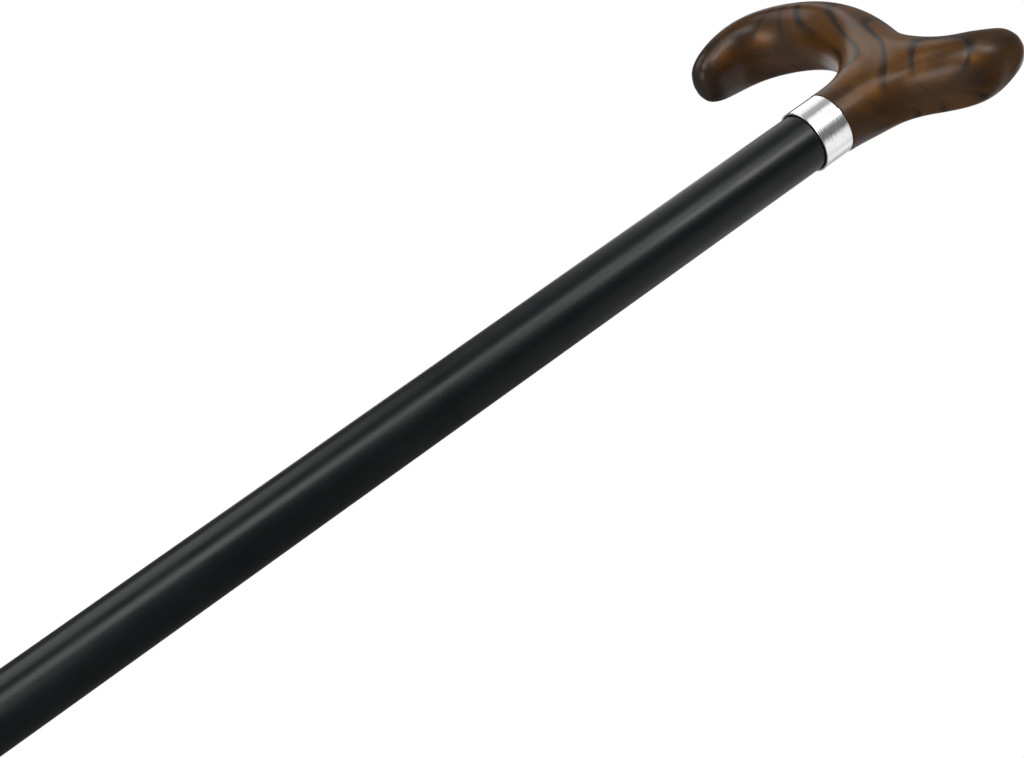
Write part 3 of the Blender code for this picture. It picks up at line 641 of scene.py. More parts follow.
def drawn_tube(name, node, radius, low, high):
    """A tube with eased ends, before its holes are cut."""
    outline = ((radius - TUBE_WALL, low), (radius, low), (radius, high), (radius - TUBE_WALL, high))
    bm = eased(turned(outline, sides=128), TUBE_EASE, segments=2)
    return piece_from(name, bm, None, node, "satin_black", TUBE_SHARP)


upper_tube = drawn_tube("black_upper_tube", "upper_tube", UPPER_RADIUS, upper_low.z, upper_high.z)
holes = bmesh.new()
for count in range(HOLES):
    height = upper_low.z + FIRST_HOLE + HOLE_PITCH * count
    rod(holes, BUTTON_HOLE, (0, 0, height), (-OUTSIDE, 0, height))
height = upper_high.z - SCREW_DROP
rod(holes, SCREW_HOLE, (0, OUTSIDE, height), (0, -OUTSIDE, height), sides=32)
cut(upper_tube, holes, TUBE_SHARP)
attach(upper_tube, "upper_shaft")

# %% [markdown]
# The lower tube slides inside the upper one. It has a single hole on the same side, for the button. It is
# drawn and cut as the upper one is, so the same helper makes it.

# %% Lower tube
lower_tube = drawn_tube("black_lower_tube", "lower_tube", LOWER_RADIUS, lower_low.z, lower_high.z)
hole = bmesh.new()
rod(hole, BUTTON_HOLE, (0, 0, BUTTON_HEIGHT), (-OUTSIDE, 0, BUTTON_HEIGHT))
cut(lower_tube, hole, TUBE_SHARP)
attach(lower_tube, "lower_shaft")

# %% [markdown]
# ## The snap button
#
# A steel button is pushed out through both tubes by a V of spring steel. Its visible end is a low dome, so
# that a thumb can press it and the upper tube's hole can ride over it. A flange keeps it in the tube, and its
# tail is riveted to the spring. A sphere on a cylinder would leave a seam. The real button is turned, so it
# is spun here about Z, its dome drawn in steps, and then laid over to face the tail.

# %% Snap button
BUTTON_RADIUS = 0.0039
BUTTON_EASE = 0.00012
FLANGE_RADIUS = BUTTON_RADIUS + 0.0009
FLANGE_THICKNESS = 0.0010
RIVET_RADIUS, RIVET_THICKNESS = 0.0024, 0.0006
STEM_RADIUS = 0.0014
DOME = 0.0018
DOME_STEPS = 14
button_low, button_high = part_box("snap_button")
tip, rivet_end = -button_low.x, -button_high.x
flange_outside = math.sqrt((LOWER_RADIUS - TUBE_WALL) ** 2 - FLANGE_RADIUS ** 2) - FIT
flange_inside = flange_outside - FLANGE_THICKNESS
outline = [
    (0.0, rivet_end), (RIVET_RADIUS, rivet_end), (RIVET_RADIUS, rivet_end + RIVET_THICKNESS),
    (STEM_RADIUS, rivet_end + RIVET_THICKNESS), (STEM_RADIUS, flange_inside), (FLANGE_RADIUS, flange_inside),
    (FLANGE_RADIUS, flange_outside), (BUTTON_RADIUS, flange_outside),
]
for step in range(DOME_STEPS):
    turn = math.radians(90) * step / DOME_STEPS
    outline.append((BUTTON_RADIUS * math.cos(turn), tip - DOME * (1 - math.sin(turn))))
outline.append((0.0, tip))
bm = eased(turned(outline, sides=64), BUTTON_EASE, angle=40.0, segments=2)
bmesh.ops.rotate(bm, verts=bm.verts, matrix=Matrix.Rotation(math.radians(-90), 3, "Y"))
bmesh.ops.translate(bm, verts=bm.verts, vec=(0, 0, BUTTON_HEIGHT))
piece_from("domed_button", bm, "button", "snap_button", "zinc_steel")

# %% [markdown]
# ## The leaf spring
#
# The spring is a strip of steel folded to a V, and its solid already has that shape, so a copy is merged into
# one skin. One leg leans on the tube's far wall and the other carries the button.

# %% Leaf spring
bm = bmesh.new()
bm.from_mesh(frame["nodes"]["leaf_spring"].data)
bmesh.ops.remove_doubles(bm, verts=bm.verts, dist=1e-6)
spring = piece_from("flat_spring", bm, None, "leaf_spring", "zinc_steel")
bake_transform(spring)

# %% [markdown]
# ## The clamp
#
# A plastic sleeve fixed on the upper tube's end carries a thread, and a fluted nut turns on it. The nut
# pushes a split ring into a cone inside the sleeve, which takes up the play between the tubes. Cone, web and
# head are all round, so the sleeve is spun from one outline, at the thread's root size.

# %% Thread sleeve
THREAD_PITCH = 0.0020
THREAD_DEPTH = 0.00055
SLEEVE_COVER = 0.020
HEAD_HEIGHT = 0.006
HEAD_WALL, CREST_WALL = 0.0032, 0.0013
WEB = 0.0018
CONE = 0.006
CONE_WIDENING = 0.0008
RING_ROOM = 0.0013       # between the lower tube and the cone's small end
SLIDE_GAP = 0.0004
SLEEVE_EASE = 0.0003
pocket = UPPER_RADIUS + FIT
crest = pocket + CREST_WALL
root = crest - THREAD_DEPTH
head = pocket + HEAD_WALL
slide_bore = LOWER_RADIUS + SLIDE_GAP
cone_small = LOWER_RADIUS + RING_ROOM
sleeve_top = upper_low.z + SLEEVE_COVER
head_low = upper_low.z + SLEEVE_COVER - HEAD_HEIGHT
web_top = upper_low.z - FIT
cone_top = upper_low.z - FIT - WEB
cone_low = upper_low.z - FIT - WEB - CONE
outline = (
    (pocket, sleeve_top), (pocket, web_top), (slide_bore, web_top), (slide_bore, cone_top),
    (cone_small, cone_top), (cone_small + CONE_WIDENING, cone_low), (root, cone_low), (root, head_low),
    (head, head_low), (head, sleeve_top),
)
bm = eased(turned(outline, sides=128), SLEEVE_EASE, angle=40.0)
piece_from("threaded_sleeve", bm, "upper_shaft", "thread_sleeve", "black_plastic")

# %% [markdown]
# The thread is a real one: the outline of a small tooth is spun round the axis while it climbs by one pitch
# a turn, so it forms a helix. A Screw modifier can do the same. Teeth that are only painted on a cylinder
# would look flat where the nut backs off and bares them.

# %% Helical thread
STEPS_PER_TURN = 64
THREAD_MARGIN = 0.0011
TOOTH_SINK = 0.0002      # how far the tooth's foot lies inside the sleeve
TOOTH_FOOT, TOOTH_TOP = 0.92, 0.25      # shares of half the pitch
half = THREAD_PITCH / 2
tooth = (
    (root - TOOTH_SINK, -half * TOOTH_FOOT), (root, -half * TOOTH_FOOT), (crest, -half * TOOTH_TOP),
    (crest, half * TOOTH_TOP), (root, half * TOOTH_FOOT), (root - TOOTH_SINK, half * TOOTH_FOOT),
)
bm = bmesh.new()
start = cone_low + THREAD_MARGIN
face = bm.faces.new([bm.verts.new((radius, 0.0, start + height)) for radius, height in tooth])
steps = round(STEPS_PER_TURN * (head_low - cone_low - 2 * THREAD_MARGIN) / THREAD_PITCH)
bmesh.ops.spin(
    bm, geom=[face], cent=(0, 0, 0), axis=(0, 0, 1), dvec=(0, 0, THREAD_PITCH / STEPS_PER_TURN),
    angle=math.tau * steps / STEPS_PER_TURN, steps=steps, use_merge=False,
)
piece_from("sleeve_thread", bm, "upper_shaft", "thread_sleeve", "black_plastic", sharp=20.0)

# %% [markdown]
# The nut is moulded, with twelve shallow flutes for the fingers. A Boolean with twelve rods would leave sharp
# ribs. A spun cup gets softer flutes by drawing its outer points in along a cosine of the angle, twelve times
# round. The edges are rounded first, so that the flutes run out gently into them.

# %% Lock nut
FLUTES = 12
FLUTE_DEPTH = 0.0006
FLUTE_FADE = 0.0016      # the flutes fade out over this much of the radius
NUT_WALL = 0.0022
NUT_EASE = 0.0005
LOWER_CHAMFER, UPPER_CHAMFER = 0.0020, 0.0008
nut_low, nut_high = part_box("lock_nut")
nut_bore = crest + FIT
nut_outside = nut_bore + NUT_WALL
floor_of_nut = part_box("grip_ring")[0].z - FIT
outline = (
    (slide_bore, floor_of_nut), (slide_bore, nut_low.z), (nut_outside - LOWER_CHAMFER, nut_low.z),
    (nut_outside, nut_low.z + LOWER_CHAMFER), (nut_outside, nut_high.z - UPPER_CHAMFER),
    (nut_outside - UPPER_CHAMFER, nut_high.z), (nut_bore, nut_high.z), (nut_bore, floor_of_nut),
)
bm = eased(turned(outline, sides=FLUTES * 16), NUT_EASE, segments=4)
for vert in bm.verts:
    radius = math.hypot(vert.co.x, vert.co.y)
    outwards = (radius - (nut_outside - FLUTE_FADE)) / FLUTE_FADE
    if outwards > 0.0:
        flute = FLUTE_DEPTH * (1 - math.cos(math.atan2(vert.co.y, vert.co.x) * FLUTES)) / 2
        shrink = 1 - flute * min(outwards, 1.0) / radius
        vert.co.x *= shrink
        vert.co.y *= shrink
piece_from("fluted_lock_nut", bm, "lock_nut", "lock_nut", "black_plastic")

# %% [markdown]
# ## The ferrule
#
# The rubber foot is moulded in one: a sole with two round treads, a hollow flare, and a neck with three
# ribs that grips the tube. Rubber has no sharp edge anywhere, so after the outline is spun every corner is
# rounded. The flare is a quarter of an ellipse, drawn with enough steps to look smooth.

# %% Ferrule
SOLE_THICKNESS = 0.012
SOLE_RIM = 0.005
SOLE_CHAMFER = 0.001
TREADS = (0.0065, 0.0120)
TREAD_HALF, TREAD_DEPTH = 0.001, 0.0015
FLARE_HEIGHT = 0.0143
FLARE_STEPS = 16
GRIP_WALL = 0.0030
RIBS = 3
RIB_PITCH = 0.0072
RIB_FOOT, RIB_TOP, RIB_RISE = 0.0012, 0.0006, 0.0006
RUBBER_EASE = 0.0004
ferrule_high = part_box("ferrule")[1]
socket = LOWER_RADIUS + FIT
neck = socket + GRIP_WALL
sole_edge = ferrule_high.y
flare_top = SOLE_RIM + FLARE_HEIGHT
outline = [(0.0, 0.0)]
for radius in TREADS:
    inner, outer = radius - TREAD_HALF, radius + TREAD_HALF
    outline += [(inner, 0.0), (inner, TREAD_DEPTH), (outer, TREAD_DEPTH), (outer, 0.0)]
outline += [(sole_edge - SOLE_CHAMFER, 0.0), (sole_edge, SOLE_CHAMFER), (sole_edge, SOLE_RIM)]
for step in range(1, FLARE_STEPS + 1):
    turn = math.radians(90) * step / FLARE_STEPS
    radius = sole_edge - (sole_edge - neck) * math.sin(turn)
    outline.append((radius, flare_top - FLARE_HEIGHT * math.cos(turn)))
for count in range(RIBS):
    middle = flare_top + RIB_PITCH * (count + 1)
    outline += [
        (neck, middle - RIB_FOOT), (neck + RIB_RISE, middle - RIB_TOP), (neck + RIB_RISE, middle + RIB_TOP),
        (neck, middle + RIB_FOOT),
    ]
outline += [
    (neck, ferrule_high.z - SOLE_CHAMFER), (neck - SOLE_CHAMFER, ferrule_high.z), (socket, ferrule_high.z),
    (socket, SOLE_THICKNESS), (0.0, SOLE_THICKNESS),
]
bm = eased(turned(outline, sides=128), RUBBER_EASE)
piece_from("rubber_ferrule", bm, "lower_shaft", "ferrule", "black_rubber", sharp=40.0)

# %% [markdown]
# ## Effects that several finishes share
#
# Fine turning lines and moulded grain turn up on more than one finish, so each is a node group that is built
# once and gets its own values in each material. A group here gives only numbers, and the shader itself stays
# in the material. The first is a grain: moulds, plating and anodising all leave a fine speckle. One noise
# gives its height, and a broader one gives a mask for the slow changes over a whole piece.


# %% Group for speckle
def new_group(name, inputs, outputs):
    """An empty shader group with named number sockets."""
    group = bpy.data.node_groups.new(name, "ShaderNodeTree")
    for label, value in inputs:
        socket = group.interface.new_socket(label, in_out="INPUT", socket_type="NodeSocketFloat")
        socket.default_value = value
    for label in outputs:
        group.interface.new_socket(label, in_out="OUTPUT", socket_type="NodeSocketFloat")
    return group, add_node(group, "NodeGroupInput"), add_node(group, "NodeGroupOutput")


def noise(tree, vector, scale, detail=2.0, roughness=0.5):
    """A Noise Texture's value."""
    node = add_node(tree, "ShaderNodeTexNoise")
    feed(tree, node.inputs["Vector"], vector)
    feed(tree, node.inputs["Scale"], scale)
    feed(tree, node.inputs["Detail"], detail)
    feed(tree, node.inputs["Roughness"], roughness)
    return node.outputs["Fac"]


def mapped(tree, vector, location=(0, 0, 0), rotation=(0, 0, 0), scale=(1, 1, 1)):
    """A vector that is scaled, turned and shifted."""
    node = add_node(tree, "ShaderNodeMapping")
    feed(tree, node.inputs["Vector"], vector)
    for label, value in (("Location", location), ("Rotation", rotation), ("Scale", scale)):
        node.inputs[label].default_value = value
    return node.outputs[0]


def joined(tree, *numbers):
    """A vector from three numbers."""
    node = add_node(tree, "ShaderNodeCombineXYZ")
    for socket, number in zip(node.inputs, numbers):
        feed(tree, socket, number)
    return node.outputs[0]


def place_on_object(tree):
    """Where a point lies on its piece, in metres."""
    return add_node(tree, "ShaderNodeTexCoord").outputs["Object"]


PATCHES_PER_METRE = 60.0
speckle, given, results = new_group(
    "moulded_speckle", [("Grains per metre", 3000.0), ("Depth", 1.0)], ["Height", "Mask"]
)
spot = place_on_object(speckle)
fine = noise(speckle, spot, given.outputs["Grains per metre"], detail=3.0, roughness=0.6)
feed(speckle, results.inputs["Height"], calculate(speckle, "MULTIPLY", fine, given.outputs["Depth"]))
feed(speckle, results.inputs["Mask"], noise(speckle, spot, PATCHES_PER_METRE))
print("speckle group has", len(speckle.nodes), "nodes")

# %% [markdown]
# A tool or a polishing cloth on a turning piece leaves fine lines round it. A Wave Texture makes them all
# alike, and they run right round like a thread. Here a noise is squeezed along the axis and changes only
# slowly round it, so each line starts somewhere, fades and ends.

# %% Group for turning marks
ROUND_PER_METRE = 150.0
marks, given, results = new_group(
    "turning_marks", [("Lines per metre", 4000.0), ("Unevenness", 0.3)], ["Height", "Mask"]
)
lay = mapped(marks, place_on_object(marks), scale=(ROUND_PER_METRE, ROUND_PER_METRE, 1.0))
along_x, along_y, along_z = split(marks, lay)
squeezed = calculate(marks, "MULTIPLY", along_z, given.outputs["Lines per metre"])
lines = noise(marks, joined(marks, along_x, along_y, squeezed), 1.0)
feed(marks, results.inputs["Height"], calculate(marks, "MULTIPLY", lines, given.outputs["Unevenness"]))
feed(marks, results.inputs["Mask"], lines)
print("turning marks group has", len(marks.nodes), "nodes")

# %% [markdown]
# ## Helpers for finishes
#
# Most finishes here are built alike: a group's mask moves the colour and the roughness between two values,
# and its height raises the surface by a few hundredths of a millimetre or less. One helper does that, and
# each finish below only says what it is made of. The wood needs a tree of its own.

# %% Helpers for finishes
MASK_RANGE = (0.3, 0.7)  # where most of a noise's values lie


def new_finish(name, **values):
    """A material with its Principled shader set, and its node tree."""
    material = bpy.data.materials.new(name)
    material.use_nodes = True
    shader = material.node_tree.nodes["Principled BSDF"]
    for label, value in values.items():
        shader.inputs[label.replace("_", " ")].default_value = value
    return material, material.node_tree, shader


def spread(tree, value, low, high, new_low, new_high):
    """Maps a range of numbers onto another."""
    node = add_node(tree, "ShaderNodeMapRange", clamp=True)
    for socket, number in zip(node.inputs, (value, low, high, new_low, new_high)):
        feed(tree, socket, number)
    return node.outputs[0]


def raise_surface(tree, shader, height, distance):
    """Feeds a height to the shader as a bump, in metres."""
    node = add_node(tree, "ShaderNodeBump")
    node.inputs["Distance"].default_value = distance
    feed(tree, node.inputs["Height"], height)
    feed(tree, shader.inputs["Normal"], node.outputs["Normal"])


def grained(name, group, settings, colours, roughness, relief, rough_by="Mask", **values):
    """A finish from a group. It returns the material, its tree, its shader and its colour's socket."""
    material, tree, shader = new_finish(name, **values)
    effect = add_node(tree, "ShaderNodeGroup", node_tree=group)
    for label, value in settings.items():
        effect.inputs[label].default_value = value
    colour = mix_colours(tree, effect.outputs["Mask"], *colours)
    feed(tree, shader.inputs["Base Color"], colour)
    feed(tree, shader.inputs["Roughness"], spread(tree, effect.outputs[rough_by], *MASK_RANGE, *roughness))
    raise_surface(tree, shader, effect.outputs["Height"], relief)
    print(name, "has", len(tree.nodes), "nodes")
    return material, tree, shader, colour


# %% [markdown]
# ## Figured wood
#
# The handle's wood is brown with a few near-black veins that swell, bend and close into a loop, where the
# blade cut through curved growth layers. A wave or magic texture gives even stripes, which look like
# wallpaper. Real figure comes from a solid: the layers fill the whole board, and the carved surface shows
# where it meets them. So a number, the level, is worked out for every point inside the wood. First comes the
# point itself, in millimetres. Both sides of the handle are cut from the same layers, a little apart, so
# what counts is the distance from the middle, and the other side's points are shifted ahead.

# %% A place in the wood
FIGURE_BASE = NECK_BASE - 0.0009      # the figure's heights count from here
MILLIMETRES = (1000.0, 1000.0, 1000.0)
SIDE_SHIFT = 6.0
SIDE_CHANGE = 6          # the shift builds up over this much beyond the middle
MIDDLE_ROUND = 1.0       # rounds off the fold at the middle


def distance_from(tree, spot, centre):
    """How far a point lies from a centre."""
    gap = add_node(tree, "ShaderNodeVectorMath", operation="DISTANCE")
    feed(tree, gap.inputs[0], spot)
    gap.inputs[1].default_value = centre
    return gap.outputs["Value"]


def falloff(tree, spot, centre, radius):
    """1 at a centre, fading smoothly to 0 with distance."""
    gap = distance_from(tree, spot, centre)
    return calculate(tree, "POWER", math.exp(-1 / radius**2), calculate(tree, "MULTIPLY", gap, gap))


wood, tree, shader = new_finish("figured_wood", Specular_IOR_Level=0.40)
board = mapped(tree, place_on_object(tree), location=(0.0, 0.0, -FIGURE_BASE * 1000), scale=MILLIMETRES)
along, aside, upwards = split(tree, board)
other_side = calculate(tree, "MULTIPLY", aside, -1 / SIDE_CHANGE, clamp=True)
ahead = calculate(tree, "MULTIPLY_ADD", other_side, SIDE_SHIFT, along)
sideways = calculate(tree, "SQRT", calculate(tree, "MULTIPLY_ADD", aside, aside, MIDDLE_ROUND))
spot = joined(tree, ahead, sideways, upwards)
print("the other side's figure lies", SIDE_SHIFT, "mm further ahead")

# %% [markdown]
# The layers of straight-grown wood would be flat, so the level starts as a plain slope through the board. A
# little bowing lets it rise towards both sides. Round swellings then lift or sink it here and there, as knots
# and bends in the trunk do, and a slow noise keeps its lines from looking drawn with a compass.

# %% Layers in the wood
START_LEVEL = 1.805
SLOPE = (-0.657, 0.269, 0.247)
SLOPE_SPAN = 30          # the slope is given over this many millimetres
BOWING = 0.79
BOWING_SPAN = 15
# Each swelling gives its centre, its radius, and how far it lifts the layers.
SWELLINGS = (
    ((-20.3, 16.5, 56.8), 9.4, -1.17), ((104.1, 8.3, 8.2), 24.1, -4.10), ((21.4, 14.5, 21.5), 27.8, -1.92),
    ((-22.9, 11.1, 26.9), 15.5, 3.33), ((-18.0, 11.9, 26.6), 11.3, -1.92), ((91.0, 12.3, 49.7), 16.6, -4.38),
    ((8.7, 13.2, 11.0), 7.4, 1.46), ((14.4, 22.8, 49.7), 25.8, 1.97),
)
WANDER = 0.12
WANDERS_PER_MILLIMETRE = 0.12
level = START_LEVEL
for distance, rise in zip((ahead, sideways, upwards), SLOPE):
    level = calculate(tree, "MULTIPLY_ADD", distance, rise / SLOPE_SPAN, level)
squared = calculate(tree, "MULTIPLY", sideways, sideways)
level = calculate(tree, "MULTIPLY_ADD", squared, BOWING / BOWING_SPAN**2, level)
for centre, radius, lift in SWELLINGS:
    level = calculate(tree, "MULTIPLY_ADD", falloff(tree, spot, centre, radius), lift, level)
waver = noise(tree, spot, WANDERS_PER_MILLIMETRE, detail=3.0, roughness=0.55)
level = calculate(tree, "MULTIPLY_ADD", waver, WANDER, calculate(tree, "ADD", level, -WANDER / 2))
print(len(SWELLINGS), "swellings bend the layers")

# %% [markdown]
# Each layer has its own brown, so a ramp turns the level into a tone. Round patches then brighten or darken the
# tone over some millimetres. The strongest bright ones are painted highlights, where the lamps' gloss lies on
# the nose, the arch's underside, the crotch, the neck, the bar and the tail. A tone is a share of light here. A
# second ramp gives it its colour at the end.

# %% Tones, patches and painted highlights
LOWEST, HIGHEST = -2.6, 5.2
PATCH_LIMIT = 2.0
TONES = (
    (-2.6, 0.021), (-1.02, 0.080), (-0.79, 0.057), (0.16, 0.066), (0.63, 0.109), (1.02, 0.051), (1.26, 0.096),
    (2.13, 0.099), (2.28, 0.133), (2.60, 0.095), (3.23, 0.145), (3.39, 0.123), (3.94, 0.171), (4.10, 0.139),
    (4.49, 0.258), (4.57, 0.254), (4.81, 0.175), (5.2, 0.150),
)
# Each patch gives its centre, its radius and its strength, below zero for a dark place. The strong bright ones
# are painted highlights.
PAINTED_HIGHLIGHTS_AND_PATCHES = (
    ((-35.1, 7.8, 42.3), 5.4, 1.68), ((-35.4, 3.5, 41.6), 5.1, -1.40), ((35.3, 1.6, 36.5), 16.3, 1.56),
    ((-44.4, 5.6, 48.0), 4.9, -1.87), ((-30.3, 25.0, 45.1), 18.6, -1.36), ((32.7, 8.5, 42.8), 12.2, -1.11),
    ((-40.7, 10.1, 60.4), 6.0, -2.25), ((-14.9, 11.3, 13.6), 4.8, 3.11), ((-2.7, -17.0, 24.4), 29.9, -1.61),
    ((-1.5, 10.0, 24.2), 22.2, 0.86), ((74.6, 7.7, 32.5), 4.5, 4.32),
    ((-7.6, 8.9, 15.2), 3.2, -0.83), ((-33.0, -14.0, 16.3), 22.9, -1.27), ((63.2, -24.8, 42.6), 23.2, -0.84),
    ((88.8, -7.8, 11.8), 17.8, -1.48), ((80.8, 12.1, 18.6), 7.1, 2.43), ((85.8, 14.7, 18.3), 4.9, -2.50),
    ((-21.8, 8.7, 24.5), 3.8, 2.49), ((-32.3, 11.7, 39.7), 3.4, -1.04), ((-33.3, 8.1, 42.3), 1.6, 1.89),
    ((-7.0, 11.8, 7.9), 3.1, -1.73), ((-8.2, 11.9, 5.6), 4.7, 1.36), ((-5.0, 9.7, 3.7), 2.9, -1.66),
)


def stop_at(level):
    """Where a level lies on a ramp from the lowest to the highest."""
    return (level - LOWEST) / (HIGHEST - LOWEST)


share = spread(tree, level, LOWEST, HIGHEST, 0.0, 1.0)
tone = ramp(tree, share, [(stop_at(position), value) for position, value in TONES])
glow = 0.0
# The patches that sit on the lamps' highlights paint those highlights into the wood's colour.
for centre, radius, strength in PAINTED_HIGHLIGHTS_AND_PATCHES:
    glow = calculate(tree, "MULTIPLY_ADD", falloff(tree, spot, centre, radius), strength, glow)
glow = calculate(tree, "MINIMUM", calculate(tree, "MAXIMUM", glow, -PATCH_LIMIT), PATCH_LIMIT)
tone = calculate(tree, "MULTIPLY", tone, calculate(tree, "EXPONENT", glow))
print(len(TONES), "tones and", len(PAINTED_HIGHLIGHTS_AND_PATCHES), "glows")

# %% [markdown]
# A vein is a thin dark layer at a whole number of the level. It darkens slowly on one side and ends sharply
# on the other, as growth does at a season's end, so each vein has four stops on one ramp. On the real handle
# veins also run out in the middle of the wood. They are faded near such places, along the handle's middle,
# and on the faces that look straight down, where the layers lie flat and would make wide blots.

# %% Veins
# Each vein gives its level, its half width on the soft and the sharp side, and how dark it is.
VEINS = (
    (-1.0, 0.12, 0.09, 0.75), (0.0, 0.16, 0.11, 0.50), (1.0, 0.17, 0.11, 0.95), (2.0, 0.11, 0.10, 0.82),
    (3.0, 0.10, 0.09, 0.90), (4.0, 0.17, 0.10, 0.96),
)
# The vein starts, is fully dark, stays so and has ended at these shares of the half widths.
SOFT_START, SOFT_DARK, HARD_DARK, HARD_END = 1.8, 0.4, 0.5, 1.2
# The veins run out of the wood near these places. Each gives its centre and its radius.
VEIN_ENDS = (
    ((-22.8, 0.0, 29.7), 9.5), ((-14.3, 0.0, 16.0), 6.0), ((84.0, 1.0, 8.0), 16.0), ((83.0, 1.0, 30.0), 7.0),
    ((0.0, 0.0, 1.0), 17.0), ((52.0, 0.0, 42.0), 7.0), ((72.0, 0.0, 38.0), 4.0),
)
FADE_AT_MIDDLE = (2.5, 7.0)
FADE_UNDERNEATH = (-0.97, -0.80)
stops = []
for middle, soft, hard, strength in VEINS:
    for position, dark in (
        (middle - soft * SOFT_START, 0.0), (middle - soft * SOFT_DARK, strength),
        (middle + hard * HARD_DARK, strength), (middle + hard * HARD_END, 0.0),
    ):
        stops.append((stop_at(position), dark))
veins = ramp(tree, share, stops)
for centre, radius in VEIN_ENDS:
    left = calculate(tree, "SUBTRACT", 1.0, falloff(tree, spot, centre, radius))
    veins = calculate(tree, "MULTIPLY", veins, left)
veins = calculate(tree, "MULTIPLY", veins, spread(tree, sideways, *FADE_AT_MIDDLE, 0.0, 1.0))
facing_up = split(tree, add_node(tree, "ShaderNodeNewGeometry").outputs["Normal"])[2]
veins = calculate(tree, "MULTIPLY", veins, spread(tree, facing_up, *FADE_UNDERNEATH, 0.0, 1.0))
print(len(VEINS), "veins")

# %% [markdown]
# Up close the wood isn't smooth in colour: fine fibres run along the handle, and growth rings show at the
# tail. The fibres are a noise that is stretched twentyfold along the grain, and the rings are a sine of the
# distance from a heart inside the tail. Colour comes last, from one ramp over the finished tone, because
# wood's dark parts are greyer and its bright parts more orange.

# %% Fibres, rings and colour
FIBRE_TILT = math.radians(12)
FIBRE_SCALE = (0.07, 1.4, 1.4)
FIBRE_RANGE = (0.30, 0.70)
RING_HEART = (-25.3, 10.4, 37.7)
RING_GAP = 1.3
RING_WAVER = 1.5
RING_CREST, RING_DEPTH = (0.2, 1.0), 0.28
RING_PATCH = ((-32.5, 10.0, 50.5), 6.5)
VEIN_TONE = 0.003
FULL_TONE = 0.3          # the tone at the colour ramp's upper end
WOOD_RELIEF = 0.00002
fibres = mapped(tree, board, rotation=(0.0, FIBRE_TILT, 0.0), scale=FIBRE_SCALE)
grain = noise(tree, fibres, 1.0, detail=3.0, roughness=0.6)
tone = calculate(tree, "MULTIPLY", tone, spread(tree, grain, *FIBRE_RANGE, new_low=0.86, new_high=1.12))
turns = calculate(tree, "MULTIPLY", distance_from(tree, spot, RING_HEART), math.tau / RING_GAP)
wave = calculate(tree, "SINE", calculate(tree, "MULTIPLY_ADD", waver, RING_WAVER, turns))
growth = spread(tree, wave, *RING_CREST, 0.0, RING_DEPTH)
ringed = calculate(tree, "MULTIPLY", growth, falloff(tree, spot, *RING_PATCH))
tone = calculate(tree, "MULTIPLY", tone, calculate(tree, "SUBTRACT", 1.0, ringed))
bare = calculate(tree, "SUBTRACT", 1.0, veins)
tone = calculate(tree, "MULTIPLY_ADD", tone, bare, calculate(tree, "MULTIPLY", veins, VEIN_TONE))
colour = ramp(tree, calculate(tree, "MULTIPLY", tone, 1 / FULL_TONE), [
    (0.0, (0.011, 0.009, 0.007)), (0.1, (0.038, 0.019, 0.009)), (0.28, (0.092, 0.038, 0.008)),
    (0.67, (0.210, 0.080, 0.011)), (1.0, (0.312, 0.120, 0.014)),
])
feed(tree, shader.inputs["Base Color"], colour)
feed(tree, shader.inputs["Roughness"], spread(tree, grain, *FIBRE_RANGE, new_low=0.29, new_high=0.33))
raise_surface(tree, shader, grain, WOOD_RELIEF)
print("the wood has", len(tree.nodes), "nodes")

# %% [markdown]
# ## Polished aluminium
#
# The collar is bright but not a perfect mirror: the cloth left fine lines round it. An Anisotropic value on a
# smooth metal would stretch the reflections without showing a single line. Turning marks in roughness and
# height give both the stretch and the broken edges of the reflections.

# %% Polished aluminium
bright = grained(
    "polished_aluminium", marks, {"Lines per metre": 2200.0, "Unevenness": 1.0},
    colours=(grey(0.93), grey(0.97)), roughness=(0.025, 0.07), relief=0.00003, Metallic=1.0,
)[0]

# %% [markdown]
# ## Satin black
#
# The tubes are anodised and dyed black. The dyed layer hides the metal under it, so the finish is a dark
# dielectric and not a metal, a touch bluish, with a soft sheen from the grain that the bath leaves.

# %% Satin black
black = grained(
    "satin_black_anodised", speckle, {"Grains per metre": 5000.0, "Depth": 1.0},
    colours=((0.0030, 0.0042, 0.0048, 1), (0.0048, 0.0062, 0.0068, 1)), roughness=(0.27, 0.33),
    relief=0.000004, Specular_IOR_Level=0.42,
)[0]

# %% [markdown]
# ## Black plastic
#
# Nut and sleeve come out of a mould whose walls are lightly blasted, so that fingers find a hold. The grain is
# coarser and deeper than on the tubes, and the sheen is broad.

# %% Black plastic
plastic = grained(
    "moulded_black_plastic", speckle, {"Grains per metre": 2200.0, "Depth": 1.0},
    colours=((0.016, 0.016, 0.018, 1), (0.024, 0.024, 0.026, 1)), roughness=(0.45, 0.58),
    relief=0.00004, Specular_IOR_Level=0.4,
)[0]

# %% [markdown]
# ## Natural nylon
#
# The grip ring and the guide bush are plain nylon without dye, a warm off-white, which slides well on
# aluminium. Real nylon lets a little light in, but on walls this thin and hidden a plain surface does.

# %% Nylon
nylon = grained(
    "natural_nylon", speckle, {"Grains per metre": 1500.0, "Depth": 1.0},
    colours=((0.50, 0.49, 0.45, 1), (0.60, 0.59, 0.55, 1)), roughness=(0.40, 0.50), relief=0.00002,
)[0]

# %% [markdown]
# ## Zinc-plated steel
#
# Button, spring, screws and washers are plated against rust. The plating is a bluish grey metal, duller in
# some grains than in others, so here the fine height moves the roughness instead of the broad mask.

# %% Zinc-plated steel
steel = grained(
    "zinc_steel", speckle, {"Grains per metre": 900.0, "Depth": 1.0},
    colours=((0.50, 0.51, 0.54, 1), (0.62, 0.63, 0.64, 1)), roughness=(0.24, 0.40), relief=0.00001,
    rough_by="Height", Metallic=1.0,
)[0]

# %% [markdown]
# ## Brass
#
# The threaded insert in the handle is turned from brass bar and left as it comes off the tool, so it shares
# the turning marks with the collar, only rougher.

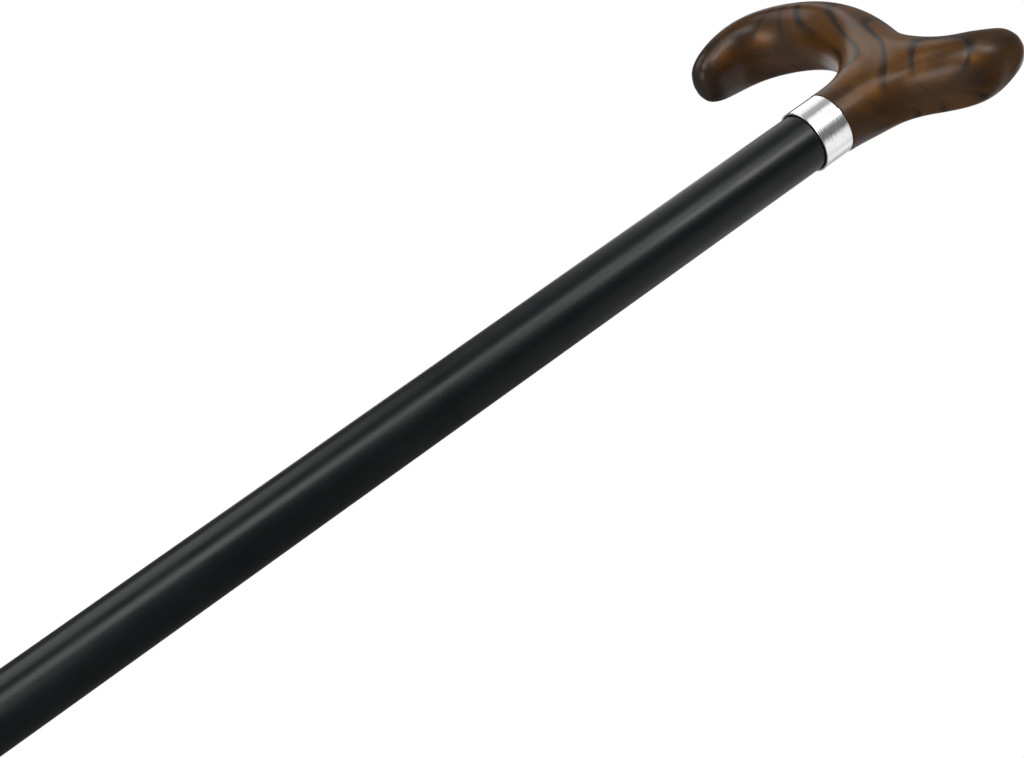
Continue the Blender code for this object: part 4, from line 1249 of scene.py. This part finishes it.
# %% Brass
brass = grained(
    "turned_brass", marks, {"Lines per metre": 2500.0, "Unevenness": 1.0},
    colours=((0.66, 0.44, 0.17, 1), (0.78, 0.56, 0.26, 1)), roughness=(0.22, 0.36), relief=0.00002,
    Metallic=1.0,
)[0]

# %% [markdown]
# ## Rubber
#
# The ferrule is matt black rubber that has stood on floors. Black alone would look like the plastic, so a
# pale dust lies over it in soft patches, mixed in over the grain's own colour.

# %% Rubber
DUST_COLOUR = (0.075, 0.068, 0.060, 1)
DUST_PATCHES = 180.0
DUST_RANGE, DUST_MOST = (0.45, 0.75), 0.5
rubber, tree, shader, colour = grained(
    "dusty_rubber", speckle, {"Grains per metre": 1800.0, "Depth": 1.0},
    colours=((0.018, 0.018, 0.018, 1), (0.028, 0.027, 0.026, 1)), roughness=(0.70, 0.82),
    relief=0.00006, Specular_IOR_Level=0.3,
)
patches = noise(tree, place_on_object(tree), DUST_PATCHES, detail=4.0, roughness=0.6)
dust = spread(tree, patches, *DUST_RANGE, 0.0, DUST_MOST)
feed(tree, shader.inputs["Base Color"], mix_colours(tree, dust, colour, DUST_COLOUR))
print("with dust it has", len(tree.nodes), "nodes")

# %% [markdown]
# ## Every piece gets its finish
#
# The record names a material slot for each solid, and each new piece kept the name of its own. One table
# from slot to finish then dresses both, so no solid is left in plain grey, not even those that the tubes hide.

# %% Every piece gets its finish
FINISHES = {
    "figured_wood": wood, "polished_aluminium": bright, "satin_black": black, "black_plastic": plastic,
    "natural_nylon": nylon, "zinc_steel": steel, "brass": brass, "black_rubber": rubber,
}
slots = {row["node"]: row["material_slot"] for row in frame["record"]["subparts"]}
to_dress = [(solid, slots[name]) for name, solid in frame["nodes"].items()]
to_dress += [(bpy.data.objects[name], slot) for name, slot in finish_of.items()]
for thing, slot in to_dress:
    thing.data.materials.clear()
    thing.data.materials.append(FINISHES[slot])
print("finishes set on", len(slots), "solids and", len(finish_of), "pieces")

# %% [markdown]
# ## The view
#
# The Standard view shows a colour about as it is written, where a film-like view would soften the contrast
# of black tube and white ground.

# %% View
bpy.context.scene.view_settings.view_transform = "Standard"
